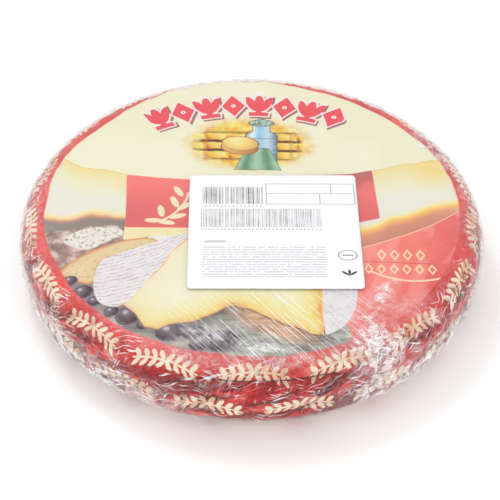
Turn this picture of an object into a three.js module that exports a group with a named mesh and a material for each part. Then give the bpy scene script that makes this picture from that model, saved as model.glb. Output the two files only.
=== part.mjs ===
// A soft, washed-rind cheese wheel as a dairy sends it out: the cheese itself, the printed foil
// wrapper folded round it, the clear stretch film round the wrapper, and the stock label that is
// stuck on the film. Millimetres, +Z up. The origin is on the surface that the wheel stands on,
// under its middle, and -Y is the side that the label is read from.
import * as THREE from "three";

// The cheese: a low wheel with soft, rounded shoulders.
const cheeseRadius = 134.5;
const cheeseHeight = 44.5;
const shoulderRound = 15.5;
const footRound = 18.5;

// The foil wrapper: its thickness takes in the creases, and its gathered edge leaves an eye below.
const wrapperThickness = 1.1;
const wrapperEyeRadius = 12;

// The stretch film: two or three crumpled layers, gathered to a smaller eye below.
const filmThickness = 0.8;
const filmEyeRadius = 8;

// The stock label: a square of self-adhesive paper, a little off the middle and slightly turned.
const labelWidth = 99.5;
const labelLength = 99;
const labelThickness = 0.25;
const labelCorner = 2.5;
const labelShift = new THREE.Vector2(13, -21.5);
const labelTurn = THREE.MathUtils.degToRad(1.2);

// The gap between a layer and what it lies on.
const layerGap = 0.3;

// How finely the round shapes are divided.
const roundSteps = 72;
const shoulderSteps = 6;
const cornerSteps = 4;

const materials = {
  rind: new THREE.MeshStandardMaterial({ color: 0xd9a25f, roughness: 0.8, metalness: 0 }),
  foil: new THREE.MeshStandardMaterial({ color: 0xc8323a, roughness: 0.4, metalness: 0.1 }),
  film: new THREE.MeshStandardMaterial({
    color: 0xf4f2f4,
    roughness: 0.1,
    metalness: 0,
    transparent: true,
    opacity: 0.25,
  }),
  label: new THREE.MeshStandardMaterial({ color: 0xf7f8fc, roughness: 0.55, metalness: 0 }),
};

// The heights of each layer's outer faces, from the surface up.
const wrapperBottom = filmThickness + layerGap;
const cheeseBottom = wrapperBottom + wrapperThickness + layerGap;
const cheeseTop = cheeseBottom + cheeseHeight;
const wrapperTop = cheeseTop + layerGap + wrapperThickness;
const filmTop = wrapperTop + layerGap + filmThickness;

/** One quarter of a round edge, as points from angle `from` to angle `to` about its middle. */
function roundEdge(middleRadius, middleHeight, size, from, to) {
  return Array.from({ length: shoulderSteps + 1 }, (_, i) => {
    const angle = THREE.MathUtils.lerp(from, to, i / shoulderSteps);
    return new THREE.Vector2(
      middleRadius + size * Math.cos(angle),
      middleHeight + size * Math.sin(angle),
    );
  });
}

/** The wheel's outline grown by `grow` all round: up its side, from its flat foot to its flat top. */
function wheelSide(grow) {
  const foot = footRound + grow;
  const shoulder = shoulderRound + grow;
  return [
    ...roundEdge(cheeseRadius - footRound, cheeseBottom + footRound, foot, -Math.PI / 2, 0),
    ...roundEdge(cheeseRadius - shoulderRound, cheeseTop - shoulderRound, shoulder, 0, Math.PI / 2),
  ];
}

/** A profile turned about the upright axis. */
function turned(profile) {
  return new THREE.LatheGeometry(profile, roundSteps).rotateX(Math.PI / 2);
}

/** The cheese: one solid body. */
function cheeseWheel() {
  const profile = [
    new THREE.Vector2(0, cheeseBottom),
    ...wheelSide(0),
    new THREE.Vector2(0, cheeseTop),
  ];
  return turned(profile);
}

/** A layer round the wheel, closed over the top and gathered below to an open eye. */
function layerRound(innerGrow, thickness, eyeRadius) {
  const outerGrow = innerGrow + thickness;
  const inner = [
    new THREE.Vector2(eyeRadius, cheeseBottom - innerGrow),
    ...wheelSide(innerGrow),
    new THREE.Vector2(0, cheeseTop + innerGrow),
  ];
  const outer = [
    new THREE.Vector2(eyeRadius, cheeseBottom - outerGrow),
    ...wheelSide(outerGrow),
    new THREE.Vector2(0, cheeseTop + outerGrow),
  ];
  return turned([...inner.reverse(), ...outer]);
}

/** The label: a thin sheet with round corners, its underside at height zero. */
function stockLabel() {
  const w = labelWidth / 2;
  const l = labelLength / 2;
  const r = labelCorner;
  const outline = new THREE.Shape()
    .moveTo(-w + r, -l)
    .lineTo(w - r, -l)
    .absarc(w - r, -l + r, r, -Math.PI / 2, 0)
    .lineTo(w, l - r)
    .absarc(w - r, l - r, r, 0, Math.PI / 2)
    .lineTo(-w + r, l)
    .absarc(-w + r, l - r, r, Math.PI / 2, Math.PI)
    .lineTo(-w, -l + r)
    .absarc(-w + r, -l + r, r, Math.PI, (3 * Math.PI) / 2);
  return new THREE.ExtrudeGeometry(outline, {
    depth: labelThickness,
    bevelEnabled: false,
    curveSegments: cornerSteps,
  });
}

/** A named mesh. */
function piece(name, geometry, material) {
  const mesh = new THREE.Mesh(geometry, material);
  mesh.name = name;
  return mesh;
}

const wrapperGrow = layerGap;
const filmGrow = wrapperGrow + wrapperThickness + layerGap;

const label = piece("stock_label", stockLabel(), materials.label);
label.position.set(labelShift.x, labelShift.y, filmTop + layerGap);
label.rotation.z = labelTurn;

const wheel = new THREE.Group();
wheel.add(
  piece("cheese_wheel", cheeseWheel(), materials.rind),
  piece(
    "foil_wrapper",
    layerRound(wrapperGrow, wrapperThickness, wrapperEyeRadius),
    materials.foil,
  ),
  piece("stretch_film", layerRound(filmGrow, filmThickness, filmEyeRadius), materials.film),
  label,
);

export default wheel;
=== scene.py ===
import itertools
import logging
import math
from dataclasses import dataclass, field
from enum import Enum
from typing import Sequence

import bpy
import numpy as np
from mathutils import Matrix, Vector


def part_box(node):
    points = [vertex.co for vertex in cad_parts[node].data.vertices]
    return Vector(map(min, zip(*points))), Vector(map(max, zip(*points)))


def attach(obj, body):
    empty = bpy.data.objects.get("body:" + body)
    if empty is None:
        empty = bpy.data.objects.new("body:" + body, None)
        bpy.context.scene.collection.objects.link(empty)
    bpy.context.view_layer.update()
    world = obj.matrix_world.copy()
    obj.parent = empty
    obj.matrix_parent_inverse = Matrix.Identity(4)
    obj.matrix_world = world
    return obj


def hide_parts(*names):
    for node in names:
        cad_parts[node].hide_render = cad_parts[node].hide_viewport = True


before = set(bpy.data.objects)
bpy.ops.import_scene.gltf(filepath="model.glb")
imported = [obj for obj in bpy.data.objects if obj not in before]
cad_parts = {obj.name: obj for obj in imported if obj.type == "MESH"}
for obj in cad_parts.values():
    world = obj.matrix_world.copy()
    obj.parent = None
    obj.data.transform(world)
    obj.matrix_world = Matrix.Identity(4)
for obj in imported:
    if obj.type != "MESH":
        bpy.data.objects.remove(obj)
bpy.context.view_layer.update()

LOG = logging.getLogger("cheese_wheel")
MM = 0.001
# The map that holds each vertex's place on its flat sheet.
SHEET_MAP = "sheet"
# The radius, in millimetres, at which patterns are carried round the side.
GIRTH = 136.0
Array = np.ndarray
Point = tuple[float, float]
Outline = tuple[Point, ...]


# ---------------------------------------------------------------------------------------------
# Numbers
# ---------------------------------------------------------------------------------------------


def smooth_step(value: Array, low: float, high: float) -> Array:
    """A rise from 0 at low to 1 at high, 3t^2 - 2t^3 between them.

    Args:
        value: Where the rise is read.
        low: Where it leaves 0.
        high: Where it reaches 1; below low, the step falls instead.

    Returns:
        One number from 0 to 1 for each value.
    """
    t = np.clip((value - low) / (high - low), 0.0, 1.0)
    return t * t * (3.0 - 2.0 * t)


def bump(value: Array, middle: float | Array, reach: float | Array) -> Array:
    """A bell of height 1 about middle: e to the power of minus (distance / reach) squared."""
    return np.exp(-(((value - middle) / reach) ** 2))


def turn_between(theta: Array, middle: float) -> Array:
    """The signed angle from middle to theta, in degrees, the short way round."""
    return (np.degrees(theta) - middle + 180.0) % 360.0 - 180.0


def lattice_noise(points: Array, cell: float, seed: int) -> Array:
    """Smooth random numbers: hashed corner values of a cubic lattice, blended by smooth steps.

    Args:
        points: Places, one row of three each.
        cell: The lattice's spacing, in the same unit.
        seed: Picks one of many unlike patterns.

    Returns:
        One number from -1 to 1 for each place.
    """
    scaled = points / cell
    corner = np.floor(scaled).astype(np.int64)
    part = scaled - corner
    part = part * part * (3.0 - 2.0 * part)
    total = np.zeros(len(points))
    for step in itertools.product((0, 1), repeat=3):
        at = corner + np.array(step)
        key = (at[:, 0] * 73856093) ^ (at[:, 1] * 19349663) ^ (at[:, 2] * 83492791) ^ (seed * 83492)
        key = ((key ^ (key >> 13)) * 1274126177) & 0xFFFFFFFF
        value = ((key ^ (key >> 16)) & 0xFFFF) / 0xFFFF
        weight = np.where(np.array(step) == 1, part, 1.0 - part).prod(axis=1)
        total += weight * value
    return 2.0 * total - 1.0


def ridges(points: Array, cell: float, seed: int, sharp: float = 2.0) -> Array:
    """Sharp crests where smooth noise crosses zero: (1 - |noise|) to the power sharp."""
    return (1.0 - np.abs(lattice_noise(points, cell, seed))) ** sharp


def facets(points: Array, pitch: float, seed: int, count: int = 5) -> Array:
    """Straight folds like those of crumpled foil: the mean of triangle waves in random directions.

    Args:
        points: Places, one row of three each.
        pitch: The mean distance between folds of one direction.
        seed: Picks the directions, pitches and phases.
        count: How many directions are folded.

    Returns:
        One number from -1 to 1 for each place.
    """
    rng = np.random.default_rng(seed)
    warp = np.stack([lattice_noise(points, pitch * 2.5, seed + k) for k in range(3)], axis=1)
    bent = points + 0.55 * pitch * warp
    total = np.zeros(len(points))
    for _ in range(count):
        direction = rng.normal(size=3)
        direction /= np.linalg.norm(direction)
        wave = bent @ direction / (pitch * rng.uniform(0.6, 1.5)) + rng.uniform()
        total += np.abs(2.0 * (wave - np.floor(wave)) - 1.0)
    return 2.0 * total / count - 1.0


# ---------------------------------------------------------------------------------------------
# Flat outlines on the printed sheet, as signed distances in millimetres, negative inside
# ---------------------------------------------------------------------------------------------


def to_polygon(x: Array, y: Array, corners: Sequence[Point]) -> Array:
    """The signed distance to a closed polygon: the nearest edge, with its sign from edge crossings.

    Args:
        x: Places across the sheet.
        y: Places up the sheet.
        corners: The polygon's corners, in order.

    Returns:
        The distance at each place, negative inside.
    """
    nearest = np.full(x.shape, np.inf)
    inside = np.zeros(x.shape, bool)
    for (ax, ay), (bx, by) in zip(corners, [*corners[1:], corners[0]]):
        ex, ey = bx - ax, by - ay
        along = np.clip(((x - ax) * ex + (y - ay) * ey) / (ex * ex + ey * ey), 0.0, 1.0)
        nearest = np.minimum(nearest, (x - ax - along * ex) ** 2 + (y - ay - along * ey) ** 2)
        if ay != by:
            crosses = (ay > y) != (by > y)
            inside ^= crosses & (x < ax + (y - ay) * ex / ey)
    distance = np.sqrt(nearest)
    return np.where(inside, -distance, distance)


def rounded(corners: Sequence[Point], times: int = 2) -> list[Point]:
    """A softer outline: each corner is cut at a quarter of its two edges, a few times over.

    Args:
        corners: The outline's corners, in order.
        times: How often they are cut.

    Returns:
        The softer outline's corners.
    """
    points = np.array(corners, float)
    for _ in range(times):
        following = np.roll(points, -1, axis=0)
        cut = np.stack([0.75 * points + 0.25 * following, 0.25 * points + 0.75 * following], axis=1)
        points = cut.reshape(-1, 2)
    return [tuple(p) for p in points]


def curve_height(x: Array, knots: Sequence[Point], reach: float = 2.5) -> Array:
    """The height of a line through the knots, its corners eased by a mean over a short reach.

    Args:
        x: Where the height is read.
        knots: The line's knots, from left to right.
        reach: How far to each side the mean goes.

    Returns:
        One height for each x.
    """
    kx, ky = np.array(knots, float).T
    return sum(np.interp(x + shift, kx, ky) for shift in (-reach, 0.0, reach)) / 3.0


# ---------------------------------------------------------------------------------------------
# The wheel's form and the grid that its layers share
# ---------------------------------------------------------------------------------------------


@dataclass(frozen=True)
class WheelForm:
    """The cheese's outline in millimetres, from which every layer is an offset.

    A place on a layer is (s, theta): the way from the top's middle along the printed sheet, and
    the angle about the upright axis. The sheet runs flat, round the shoulder, down the wall,
    round the foot and flat again towards the middle of the underside.
    """

    radius: float
    bottom: float
    top: float
    shoulder: float = 15.5
    foot: float = 18.5
    sheet_level: float = 1.4

    @classmethod
    def from_frame(cls, node: str) -> "WheelForm":
        """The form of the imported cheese."""
        low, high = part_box(node)
        return cls(radius=high.x / MM, bottom=low.z / MM, top=high.z / MM)

    @property
    def bends(self) -> tuple[float, float, float, float]:
        """The s of each bend's ends.

        Returns:
            The s of the shoulder's start and end, and of the foot's start and end.
        """
        shoulder_start = self.radius - self.shoulder
        shoulder_end = shoulder_start + (self.shoulder + self.sheet_level) * math.pi / 2
        foot_start = shoulder_end + (self.top - self.bottom - self.shoulder - self.foot)
        foot_end = foot_start + (self.foot + self.sheet_level) * math.pi / 2
        return shoulder_start, shoulder_end, foot_start, foot_end

    @property
    def flat_below(self) -> float:
        """The radius at which the underside turns flat."""
        return self.radius - self.foot

    def s_below(self, radius: float) -> float:
        """The s of a place on the flat underside, at that distance from the axis."""
        return self.bends[3] + self.flat_below - radius

    def points(self, s: Array, theta: Array, grow: Array) -> Array:
        """Places on a layer: the outline's point, moved by grow along the outline's normal.

        Args:
            s: The way along the sheet.
            theta: The angle about the axis.
            grow: The layer's height over the cheese there.

        Returns:
            One row of x, y and z for each place, in millimetres.
        """
        shoulder_start, shoulder_end, foot_start, foot_end = self.bends
        over = np.clip((s - shoulder_start) / (self.shoulder + self.sheet_level), 0, math.pi / 2)
        under = np.clip((s - foot_start) / (self.foot + self.sheet_level), 0, math.pi / 2)
        down = np.clip(s - shoulder_end, 0.0, foot_start - shoulder_end)
        back = np.maximum(s - foot_end, 0.0)
        angle = over + under
        radial = np.minimum(s, shoulder_start) + self.shoulder * np.sin(over)
        radial = radial - self.foot * (1.0 - np.cos(under)) - back
        height = self.top - self.shoulder * (1.0 - np.cos(over)) - down - self.foot * np.sin(under)
        radial = radial + grow * np.sin(angle)
        height = height + grow * np.cos(angle)
        return np.stack([radial * np.cos(theta), radial * np.sin(theta), height], axis=1)


@dataclass
class Layer:
    """One layer's places and faces: an outer wall and, on a wrap, the wall inside it."""

    s: Array
    theta: Array
    inner: Array
    quads: Array
    triangles: Array

    @property
    def x(self) -> Array:
        """The place across the flat sheet."""
        return self.s * np.cos(self.theta)

    @property
    def y(self) -> Array:
        """The place up the flat sheet."""
        return self.s * np.sin(self.theta)


@dataclass(frozen=True)
class LayerGrid:
    """The grid of a layer: squares bent to a disc on top, and rings from its rim to the eye.

    The square (a, b) from -1 to 1 goes to the disc as radius = the larger of |a| and |b|, and
    angle = a quarter turn times their ratio. Its rim is then 4 * squares evenly spaced places,
    from which the rings go on.
    """

    form: WheelForm
    squares: int = 168
    side_rows: int = 56
    under_rows: int = 11
    last_ring: float = 6.0
    rows_back: tuple[int, ...] = (4, 12, 3, 10, 4)

    def layer(self, eye: float, walled: bool) -> Layer:
        """Lays out a layer.

        Args:
            eye: The radius of the hole in the underside; 0 closes it.
            walled: Whether a second wall runs back inside the first.

        Returns:
            The layer's places and faces, all facing out.
        """
        form = self.form
        rim = form.bends[0]
        s, theta, quads, ring = self._disc(rim)
        angles = theta[ring]
        side = np.linspace(rim, form.bends[3], self.side_rows + 1)[1:]
        smallest = eye if eye > 0 else self.last_ring
        under = np.linspace(form.flat_below, smallest, self.under_rows + 1)[1:]
        rows = [*side, *(form.s_below(r) for r in under)]
        s_all, theta_all, quads_all = [s], [theta], [quads]
        count = len(s)
        inner_from = len(rows)
        if walled:
            rows += self._way_back(form.s_below(smallest))
        for row in rows:
            new = count + np.arange(len(ring))
            s_all.append(np.full(len(ring), row))
            theta_all.append(angles)
            quads_all.append(
                np.stack([ring, new, np.roll(new, -1), np.roll(ring, -1)], axis=1)
            )
            ring, count = new, count + len(ring)
        pole = 0.0 if walled else form.s_below(0.0)
        s_all.append(np.array([pole]))
        theta_all.append(np.zeros(1))
        triangles = np.stack([ring, np.full(len(ring), count), np.roll(ring, -1)], axis=1)
        s, theta = np.concatenate(s_all), np.concatenate(theta_all)
        inner = np.zeros(len(s), bool)
        if walled:
            inner[len(s_all[0]) + inner_from * len(ring):] = True
        return Layer(s, theta, inner, np.concatenate(quads_all), triangles)

    def _way_back(self, start: float) -> list[float]:
        """The inner wall's rows, close together on the bends.

        Args:
            start: The s of the eye's edge.

        Returns:
            The s of each row, from the eye back to the last one before the middle.
        """
        stops = [start, *reversed(self.form.bends), 0.0]
        rows = [start]
        for begin, end, count in zip(stops, stops[1:], self.rows_back):
            rows += list(np.linspace(begin, end, count + 1)[1:])
        return rows[:-1]

    def _disc(self, rim: float) -> tuple[Array, Array, Array, Array]:
        """The squares bent to a disc.

        Args:
            rim: The disc's radius.

        Returns:
            The radius and angle of each place, the faces, and the rim's places by their angle.
        """
        n = self.squares
        line = np.linspace(-1.0, 1.0, n + 1)
        a, b = (g.ravel() for g in np.meshgrid(line, line, indexing="ij"))
        wide = np.abs(a) >= np.abs(b)
        size = np.where(wide, a, b)
        safe = np.where(size == 0, 1.0, size)
        angle = np.where(wide, math.pi / 4 * b / safe, math.pi / 2 - math.pi / 4 * a / safe)
        x, y = rim * size * np.cos(angle), rim * size * np.sin(angle)
        index = np.arange((n + 1) ** 2).reshape(n + 1, n + 1)
        quads = np.stack([index[:-1, :-1], index[1:, :-1], index[1:, 1:], index[:-1, 1:]], axis=-1)
        edge = np.flatnonzero(np.maximum(np.abs(a), np.abs(b)) == 1.0)
        theta = np.arctan2(y, x)
        ring = edge[np.argsort(theta[edge])]
        return np.hypot(x, y), theta, quads.reshape(-1, 4), ring


def make_mesh(name: str, points: Array, quads: Array, triangles: Array) -> bpy.types.Object:
    """A smooth-shaded mesh object.

    Args:
        name: The object's name.
        points: Its places, in millimetres.
        quads: Its four-sided faces.
        triangles: Its three-sided faces.

    Returns:
        The object, linked to the scene, with its place in its mesh.
    """
    mesh = bpy.data.meshes.new(name)
    mesh.from_pydata((points * MM).tolist(), [], quads.tolist() + triangles.tolist())
    mesh.update()
    mesh.shade_smooth()
    piece = bpy.data.objects.new(name, mesh)
    bpy.context.scene.collection.objects.link(piece)
    return piece


def add_values(piece: bpy.types.Object, name: str, values: Array) -> None:
    """Stores one number for each vertex under that name."""
    layer = piece.data.attributes.new(name, "FLOAT", "POINT")
    layer.data.foreach_set("value", np.asarray(values, np.float32))


def add_map(piece: bpy.types.Object, name: str, x: Array, y: Array) -> None:
    """A UV map that holds a flat place for each vertex, in metres.

    Args:
        piece: The piece.
        name: The map's name.
        x: Each vertex's place across the flat sheet, in millimetres.
        y: Its place up the sheet.
    """
    mesh = piece.data
    vertex = np.empty(len(mesh.loops), np.int32)
    mesh.loops.foreach_get("vertex_index", vertex)
    flat = np.stack([x[vertex], y[vertex]], axis=1) * MM
    mesh.uv_layers.new(name=name).uv.foreach_set("vector", flat.astype(np.float32).ravel())


# ---------------------------------------------------------------------------------------------
# Shader nodes
# ---------------------------------------------------------------------------------------------

Colour = tuple[float, float, float]
Place = tuple[float, float, float]
Stops = Sequence[tuple[float, Colour]]
Socket = bpy.types.NodeSocket
Paint = Socket | Colour


def linear(value: int) -> float:
    """A screen's value from 0 to 255 as the linear number that shaders use, by the sRGB curve."""
    v = value / 255
    return v / 12.92 if v <= 0.04045 else ((v + 0.055) / 1.055) ** 2.4


def ink(red: int, green: int, blue: int) -> Colour:
    """A colour given as a screen shows it, from 0 to 255, as linear numbers."""
    return linear(red), linear(green), linear(blue)


class Signal:
    """A number that a shader works out; arithmetic on it adds the nodes for it."""

    def __init__(self, bench: "Bench", socket: Socket) -> None:
        """Keeps the socket, and the bench that further nodes go to."""
        self.bench = bench
        self.socket = socket

    def __add__(self, other: "Number") -> "Signal":
        """The sum."""
        return self.bench.math("ADD", self, other)

    def __sub__(self, other: "Number") -> "Signal":
        """This number less the other."""
        return self.bench.math("SUBTRACT", self, other)

    def __rsub__(self, other: "Number") -> "Signal":
        """The other number less this."""
        return self.bench.math("SUBTRACT", other, self)

    def __mul__(self, other: "Number") -> "Signal":
        """The product."""
        return self.bench.math("MULTIPLY", self, other)

    def __truediv__(self, other: "Number") -> "Signal":
        """The ratio."""
        return self.bench.math("DIVIDE", self, other)

    def __pow__(self, other: "Number") -> "Signal":
        """The power."""
        return self.bench.math("POWER", self, other)

    def __neg__(self) -> "Signal":
        """The number with its sign turned."""
        return self * -1.0

    def __abs__(self) -> "Signal":
        """The number without its sign."""
        return self.bench.math("ABSOLUTE", self)

    def fraction(self) -> "Signal":
        """The part over the whole number below."""
        return self.bench.math("FRACT", self)

    def whole(self) -> "Signal":
        """The whole number below."""
        return self.bench.math("FLOOR", self)

    __radd__ = __add__
    __rmul__ = __mul__


Number = Signal | float


class Bench:
    """Puts shader nodes into one material, and hands their results on."""

    def __init__(self, name: str) -> None:
        """Starts a material without any nodes.

        Args:
            name: The material's name.
        """
        self.material = bpy.data.materials.new(name)
        self.material.use_nodes = True
        self.tree = self.material.node_tree
        self.tree.nodes.clear()

    def node(self, kind: str, values: dict | None = None, **settings: object) -> bpy.types.Node:
        """Adds a node.

        Args:
            kind: Its type, without the leading ShaderNode.
            values: For each input's name or number, a socket to link or a value to set.
            **settings: The node's own properties.

        Returns:
            The node.
        """
        made = self.tree.nodes.new("ShaderNode" + kind)
        for key, value in settings.items():
            setattr(made, key, value)
        for key, value in (values or {}).items():
            if isinstance(value, Signal):
                value = value.socket
            if isinstance(value, bpy.types.NodeSocket):
                self.tree.links.new(value, made.inputs[key])
            elif isinstance(value, tuple) and made.inputs[key].type == "RGBA" and len(value) == 3:
                made.inputs[key].default_value = (*value, 1.0)
            else:
                made.inputs[key].default_value = value
        return made

    def number(self, socket: Socket) -> Signal:
        """A socket's number, ready for arithmetic."""
        return Signal(self, socket)

    def math(self, operation: str, a: Number, b: Number = 0.0) -> Signal:
        """One step of arithmetic on numbers."""
        return self.number(self.node("Math", {0: a, 1: b}, operation=operation).outputs[0])

    def shifted(self, place: Socket, by: Place) -> Socket:
        """The place, counted from by."""
        return self.node("VectorMath", {0: place, 1: by}, operation="SUBTRACT").outputs[0]

    def stretched(self, place: Socket, turn: float, along: float) -> Socket:
        """The place turned back by that many degrees, with its first axis drawn out by along."""
        values = {"Vector": place, "Rotation": (0, 0, math.radians(turn)), "Scale": (along, 1, 1)}
        return self.node("Mapping", values, vector_type="TEXTURE").outputs[0]

    def reach(self, place: Socket, middle: Place = (0.0, 0.0, 0.0)) -> Signal:
        """How far the place is from middle."""
        made = self.node("VectorMath", {0: place, 1: middle}, operation="DISTANCE")
        return self.number(made.outputs["Value"])

    def along(self, vector: Socket, axis: Place) -> Signal:
        """How far the vector goes along the axis: their dot product."""
        made = self.node("VectorMath", {0: vector, 1: axis}, operation="DOT_PRODUCT")
        return self.number(made.outputs["Value"])

    def split(self, vector: Socket) -> tuple[Signal, Signal]:
        """A vector's first two numbers."""
        return self.along(vector, (1.0, 0.0, 0.0)), self.along(vector, (0.0, 1.0, 0.0))

    def framed(
        self, place: Socket, middle: Point, turn: float, unit: Point = (1.0, 1.0)
    ) -> tuple[Signal, Signal]:
        """The place's two numbers in a frame of its own.

        Args:
            place: The flat place.
            middle: Where the frame's origin is.
            turn: How far the frame is turned, in degrees.
            unit: How long its unit is, along each of its two axes.

        Returns:
            How far the place is along the frame's first axis, and along its second.
        """
        c, s = math.cos(math.radians(turn)), math.sin(math.radians(turn))
        from_middle = self.shifted(place, (*middle, 0.0))
        first = self.along(from_middle, (c / unit[0], s / unit[0], 0.0))
        return first, self.along(from_middle, (-s / unit[1], c / unit[1], 0.0))

    def join(self, x: Number, y: Number, z: Number = 0.0) -> Socket:
        """A vector of three numbers."""
        return self.node("CombineXYZ", {0: x, 1: y, 2: z}).outputs[0]

    def flat(self, name: str) -> Socket:
        """The place on a flat map, in millimetres."""
        place = self.node("UVMap", uv_map=name).outputs[0]
        return self.node("VectorMath", {0: place, "Scale": 1000.0}, operation="SCALE").outputs[0]

    def solid(self) -> Socket:
        """The place in the object, in millimetres."""
        place = self.node("TexCoord").outputs["Object"]
        return self.node("VectorMath", {0: place, "Scale": 1000.0}, operation="SCALE").outputs[0]

    def value(self, name: str) -> Signal:
        """A number stored on the vertices."""
        return self.number(self.node("Attribute", attribute_name=name).outputs["Fac"])

    def spread(
        self, value: Number, low: float, high: float, to_low: float = 0.0, to_high: float = 1.0
    ) -> Signal:
        """A straight rise or fall, held at its ends.

        Args:
            value: The number that it follows.
            low: Where it starts.
            high: Where it ends.
            to_low: Its number at the start.
            to_high: Its number at the end.

        Returns:
            A number from to_low to to_high.
        """
        made = self.node("MapRange", {0: value, 1: low, 2: high, 3: to_low, 4: to_high})
        return self.number(made.outputs[0])

    def inside(self, distance: Number, edge: float = 0.0, soft: float = 0.12) -> Signal:
        """1 where a signed distance is under edge and 0 past it, with a narrow soft rim."""
        return self.spread(distance, edge + soft, edge - soft)

    def mix(self, share: Number, under: "Paint", over: "Paint") -> Socket:
        """One colour laid over another, with share from 0 to 1."""
        made = self.node("Mix", {0: share, 6: under, 7: over}, data_type="RGBA")
        return made.outputs[2]

    def ramp(self, value: Number, stops: Stops) -> Socket:
        """Colours along a number from 0 to 1.

        Args:
            value: The number.
            stops: Where each colour is reached, and the colour.

        Returns:
            The colour, blended evenly between the stops.
        """
        made = self.node("ValToRGB", {0: value})
        elements = made.color_ramp.elements
        while len(elements) < len(stops):
            elements.new(0.5)
        for element, (place, colour) in zip(elements, stops):
            element.position = place
            element.color = (*colour, 1.0)
        return made.outputs[0]

    def noise(self, place: Socket, size: float, detail: float = 2.0, bent: float = 0.0) -> Signal:
        """Soft noise from 0 to 1, with blotches of about that size in the place's unit."""
        values = {"Vector": place, "Scale": 1.0 / size, "Detail": detail, "Distortion": bent}
        return self.number(self.node("TexNoise", values).outputs["Fac"])

    def cells(self, place: Socket, size: float) -> Signal:
        """One random number from 0 to 1 for each flat-sided cell of about that size."""
        made = self.node("TexVoronoi", {"Vector": place, "Scale": 1.0 / size})
        return self.number(self.node("SeparateColor", {0: made.outputs["Color"]}).outputs[0])

    def unrolled(self, flat: Socket, radius: float) -> Socket:
        """A flat place as one on the unrolled side: the way round it, and the way out."""
        x, y = self.split(flat)
        return self.join(self.math("ARCTAN2", y, x) * radius, self.reach(flat))

    def streaks(self, place: Socket, turn: float, width: float, length: float, cut: float) -> Signal:
        """Long thin marks, 1 along their middles: noise drawn out along turn and cut high.

        Args:
            place: The flat place.
            turn: Which way the marks run, in degrees.
            width: About how wide they are.
            length: How many times longer than wide.
            cut: Where the noise is cut, from 0.5 for many marks to 0.7 for few.

        Returns:
            The strength from 0 to 1.
        """
        threads = self.noise(self.stretched(place, turn, length), width, 1.0, 0.15)
        return self.spread(threads, cut, cut + 0.07)

    def ellipse(self, place: Socket, middle: Point, radii: Point, turn: float = 0.0) -> Signal:
        """About the distance to an ellipse: (length of place over radii, less 1) times the smaller.

        Args:
            place: The flat place.
            middle: The ellipse's centre.
            radii: Its two radii.
            turn: How far its first axis is turned, in degrees.

        Returns:
            The distance, negative inside.
        """
        return (self.reach(self.join(*self.framed(place, middle, turn, radii))) - 1.0) * min(radii)

    def bar(self, place: Socket, middle: Point, half: Point, turn: float = 0.0) -> Signal:
        """The distance to a box: the larger of |x| and |y|, each less its half size."""
        x, y = self.framed(place, middle, turn)
        return self.both(abs(x) - half[0], abs(y) - half[1])

    def both(self, first: Signal, second: Signal) -> Signal:
        """What two outlines share: the larger of their distances."""
        return self.math("MAXIMUM", first, second)

    def nearest(self, distances: Sequence[Signal]) -> Signal:
        """Several outlines joined: the smallest of their distances.

        Args:
            distances: The distance to each outline.

        Returns:
            The distance to the nearest.
        """
        joined = distances[0]
        for distance in distances[1:]:
            joined = self.math("MINIMUM", joined, distance)
        return joined

    def finish(self, shader: Socket) -> bpy.types.Material:
        """Makes shader the material's surface."""
        self.node("OutputMaterial", {"Surface": shader})
        return self.material


# ---------------------------------------------------------------------------------------------
# The foil wrapper and its printed picture
# ---------------------------------------------------------------------------------------------


# How much white the film lays over the print, partly its own haze and partly a painted reflection of the
# white studio, and how much of the print's light it lets by.
FILM_VEIL = 0.04
FILM_PASS = 0.985
DARKEST_INK = 0.004


def seen(red: int, green: int, blue: int) -> Colour:
    """The ink that has this colour, from 0 to 255, once the film's thin veil of white, partly its own
    haze and partly painted reflection, is over it.
    """
    bare = ((v - FILM_VEIL) / FILM_PASS for v in ink(red, green, blue))
    return tuple(min(1.0, max(DARKEST_INK, v)) for v in bare)


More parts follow.
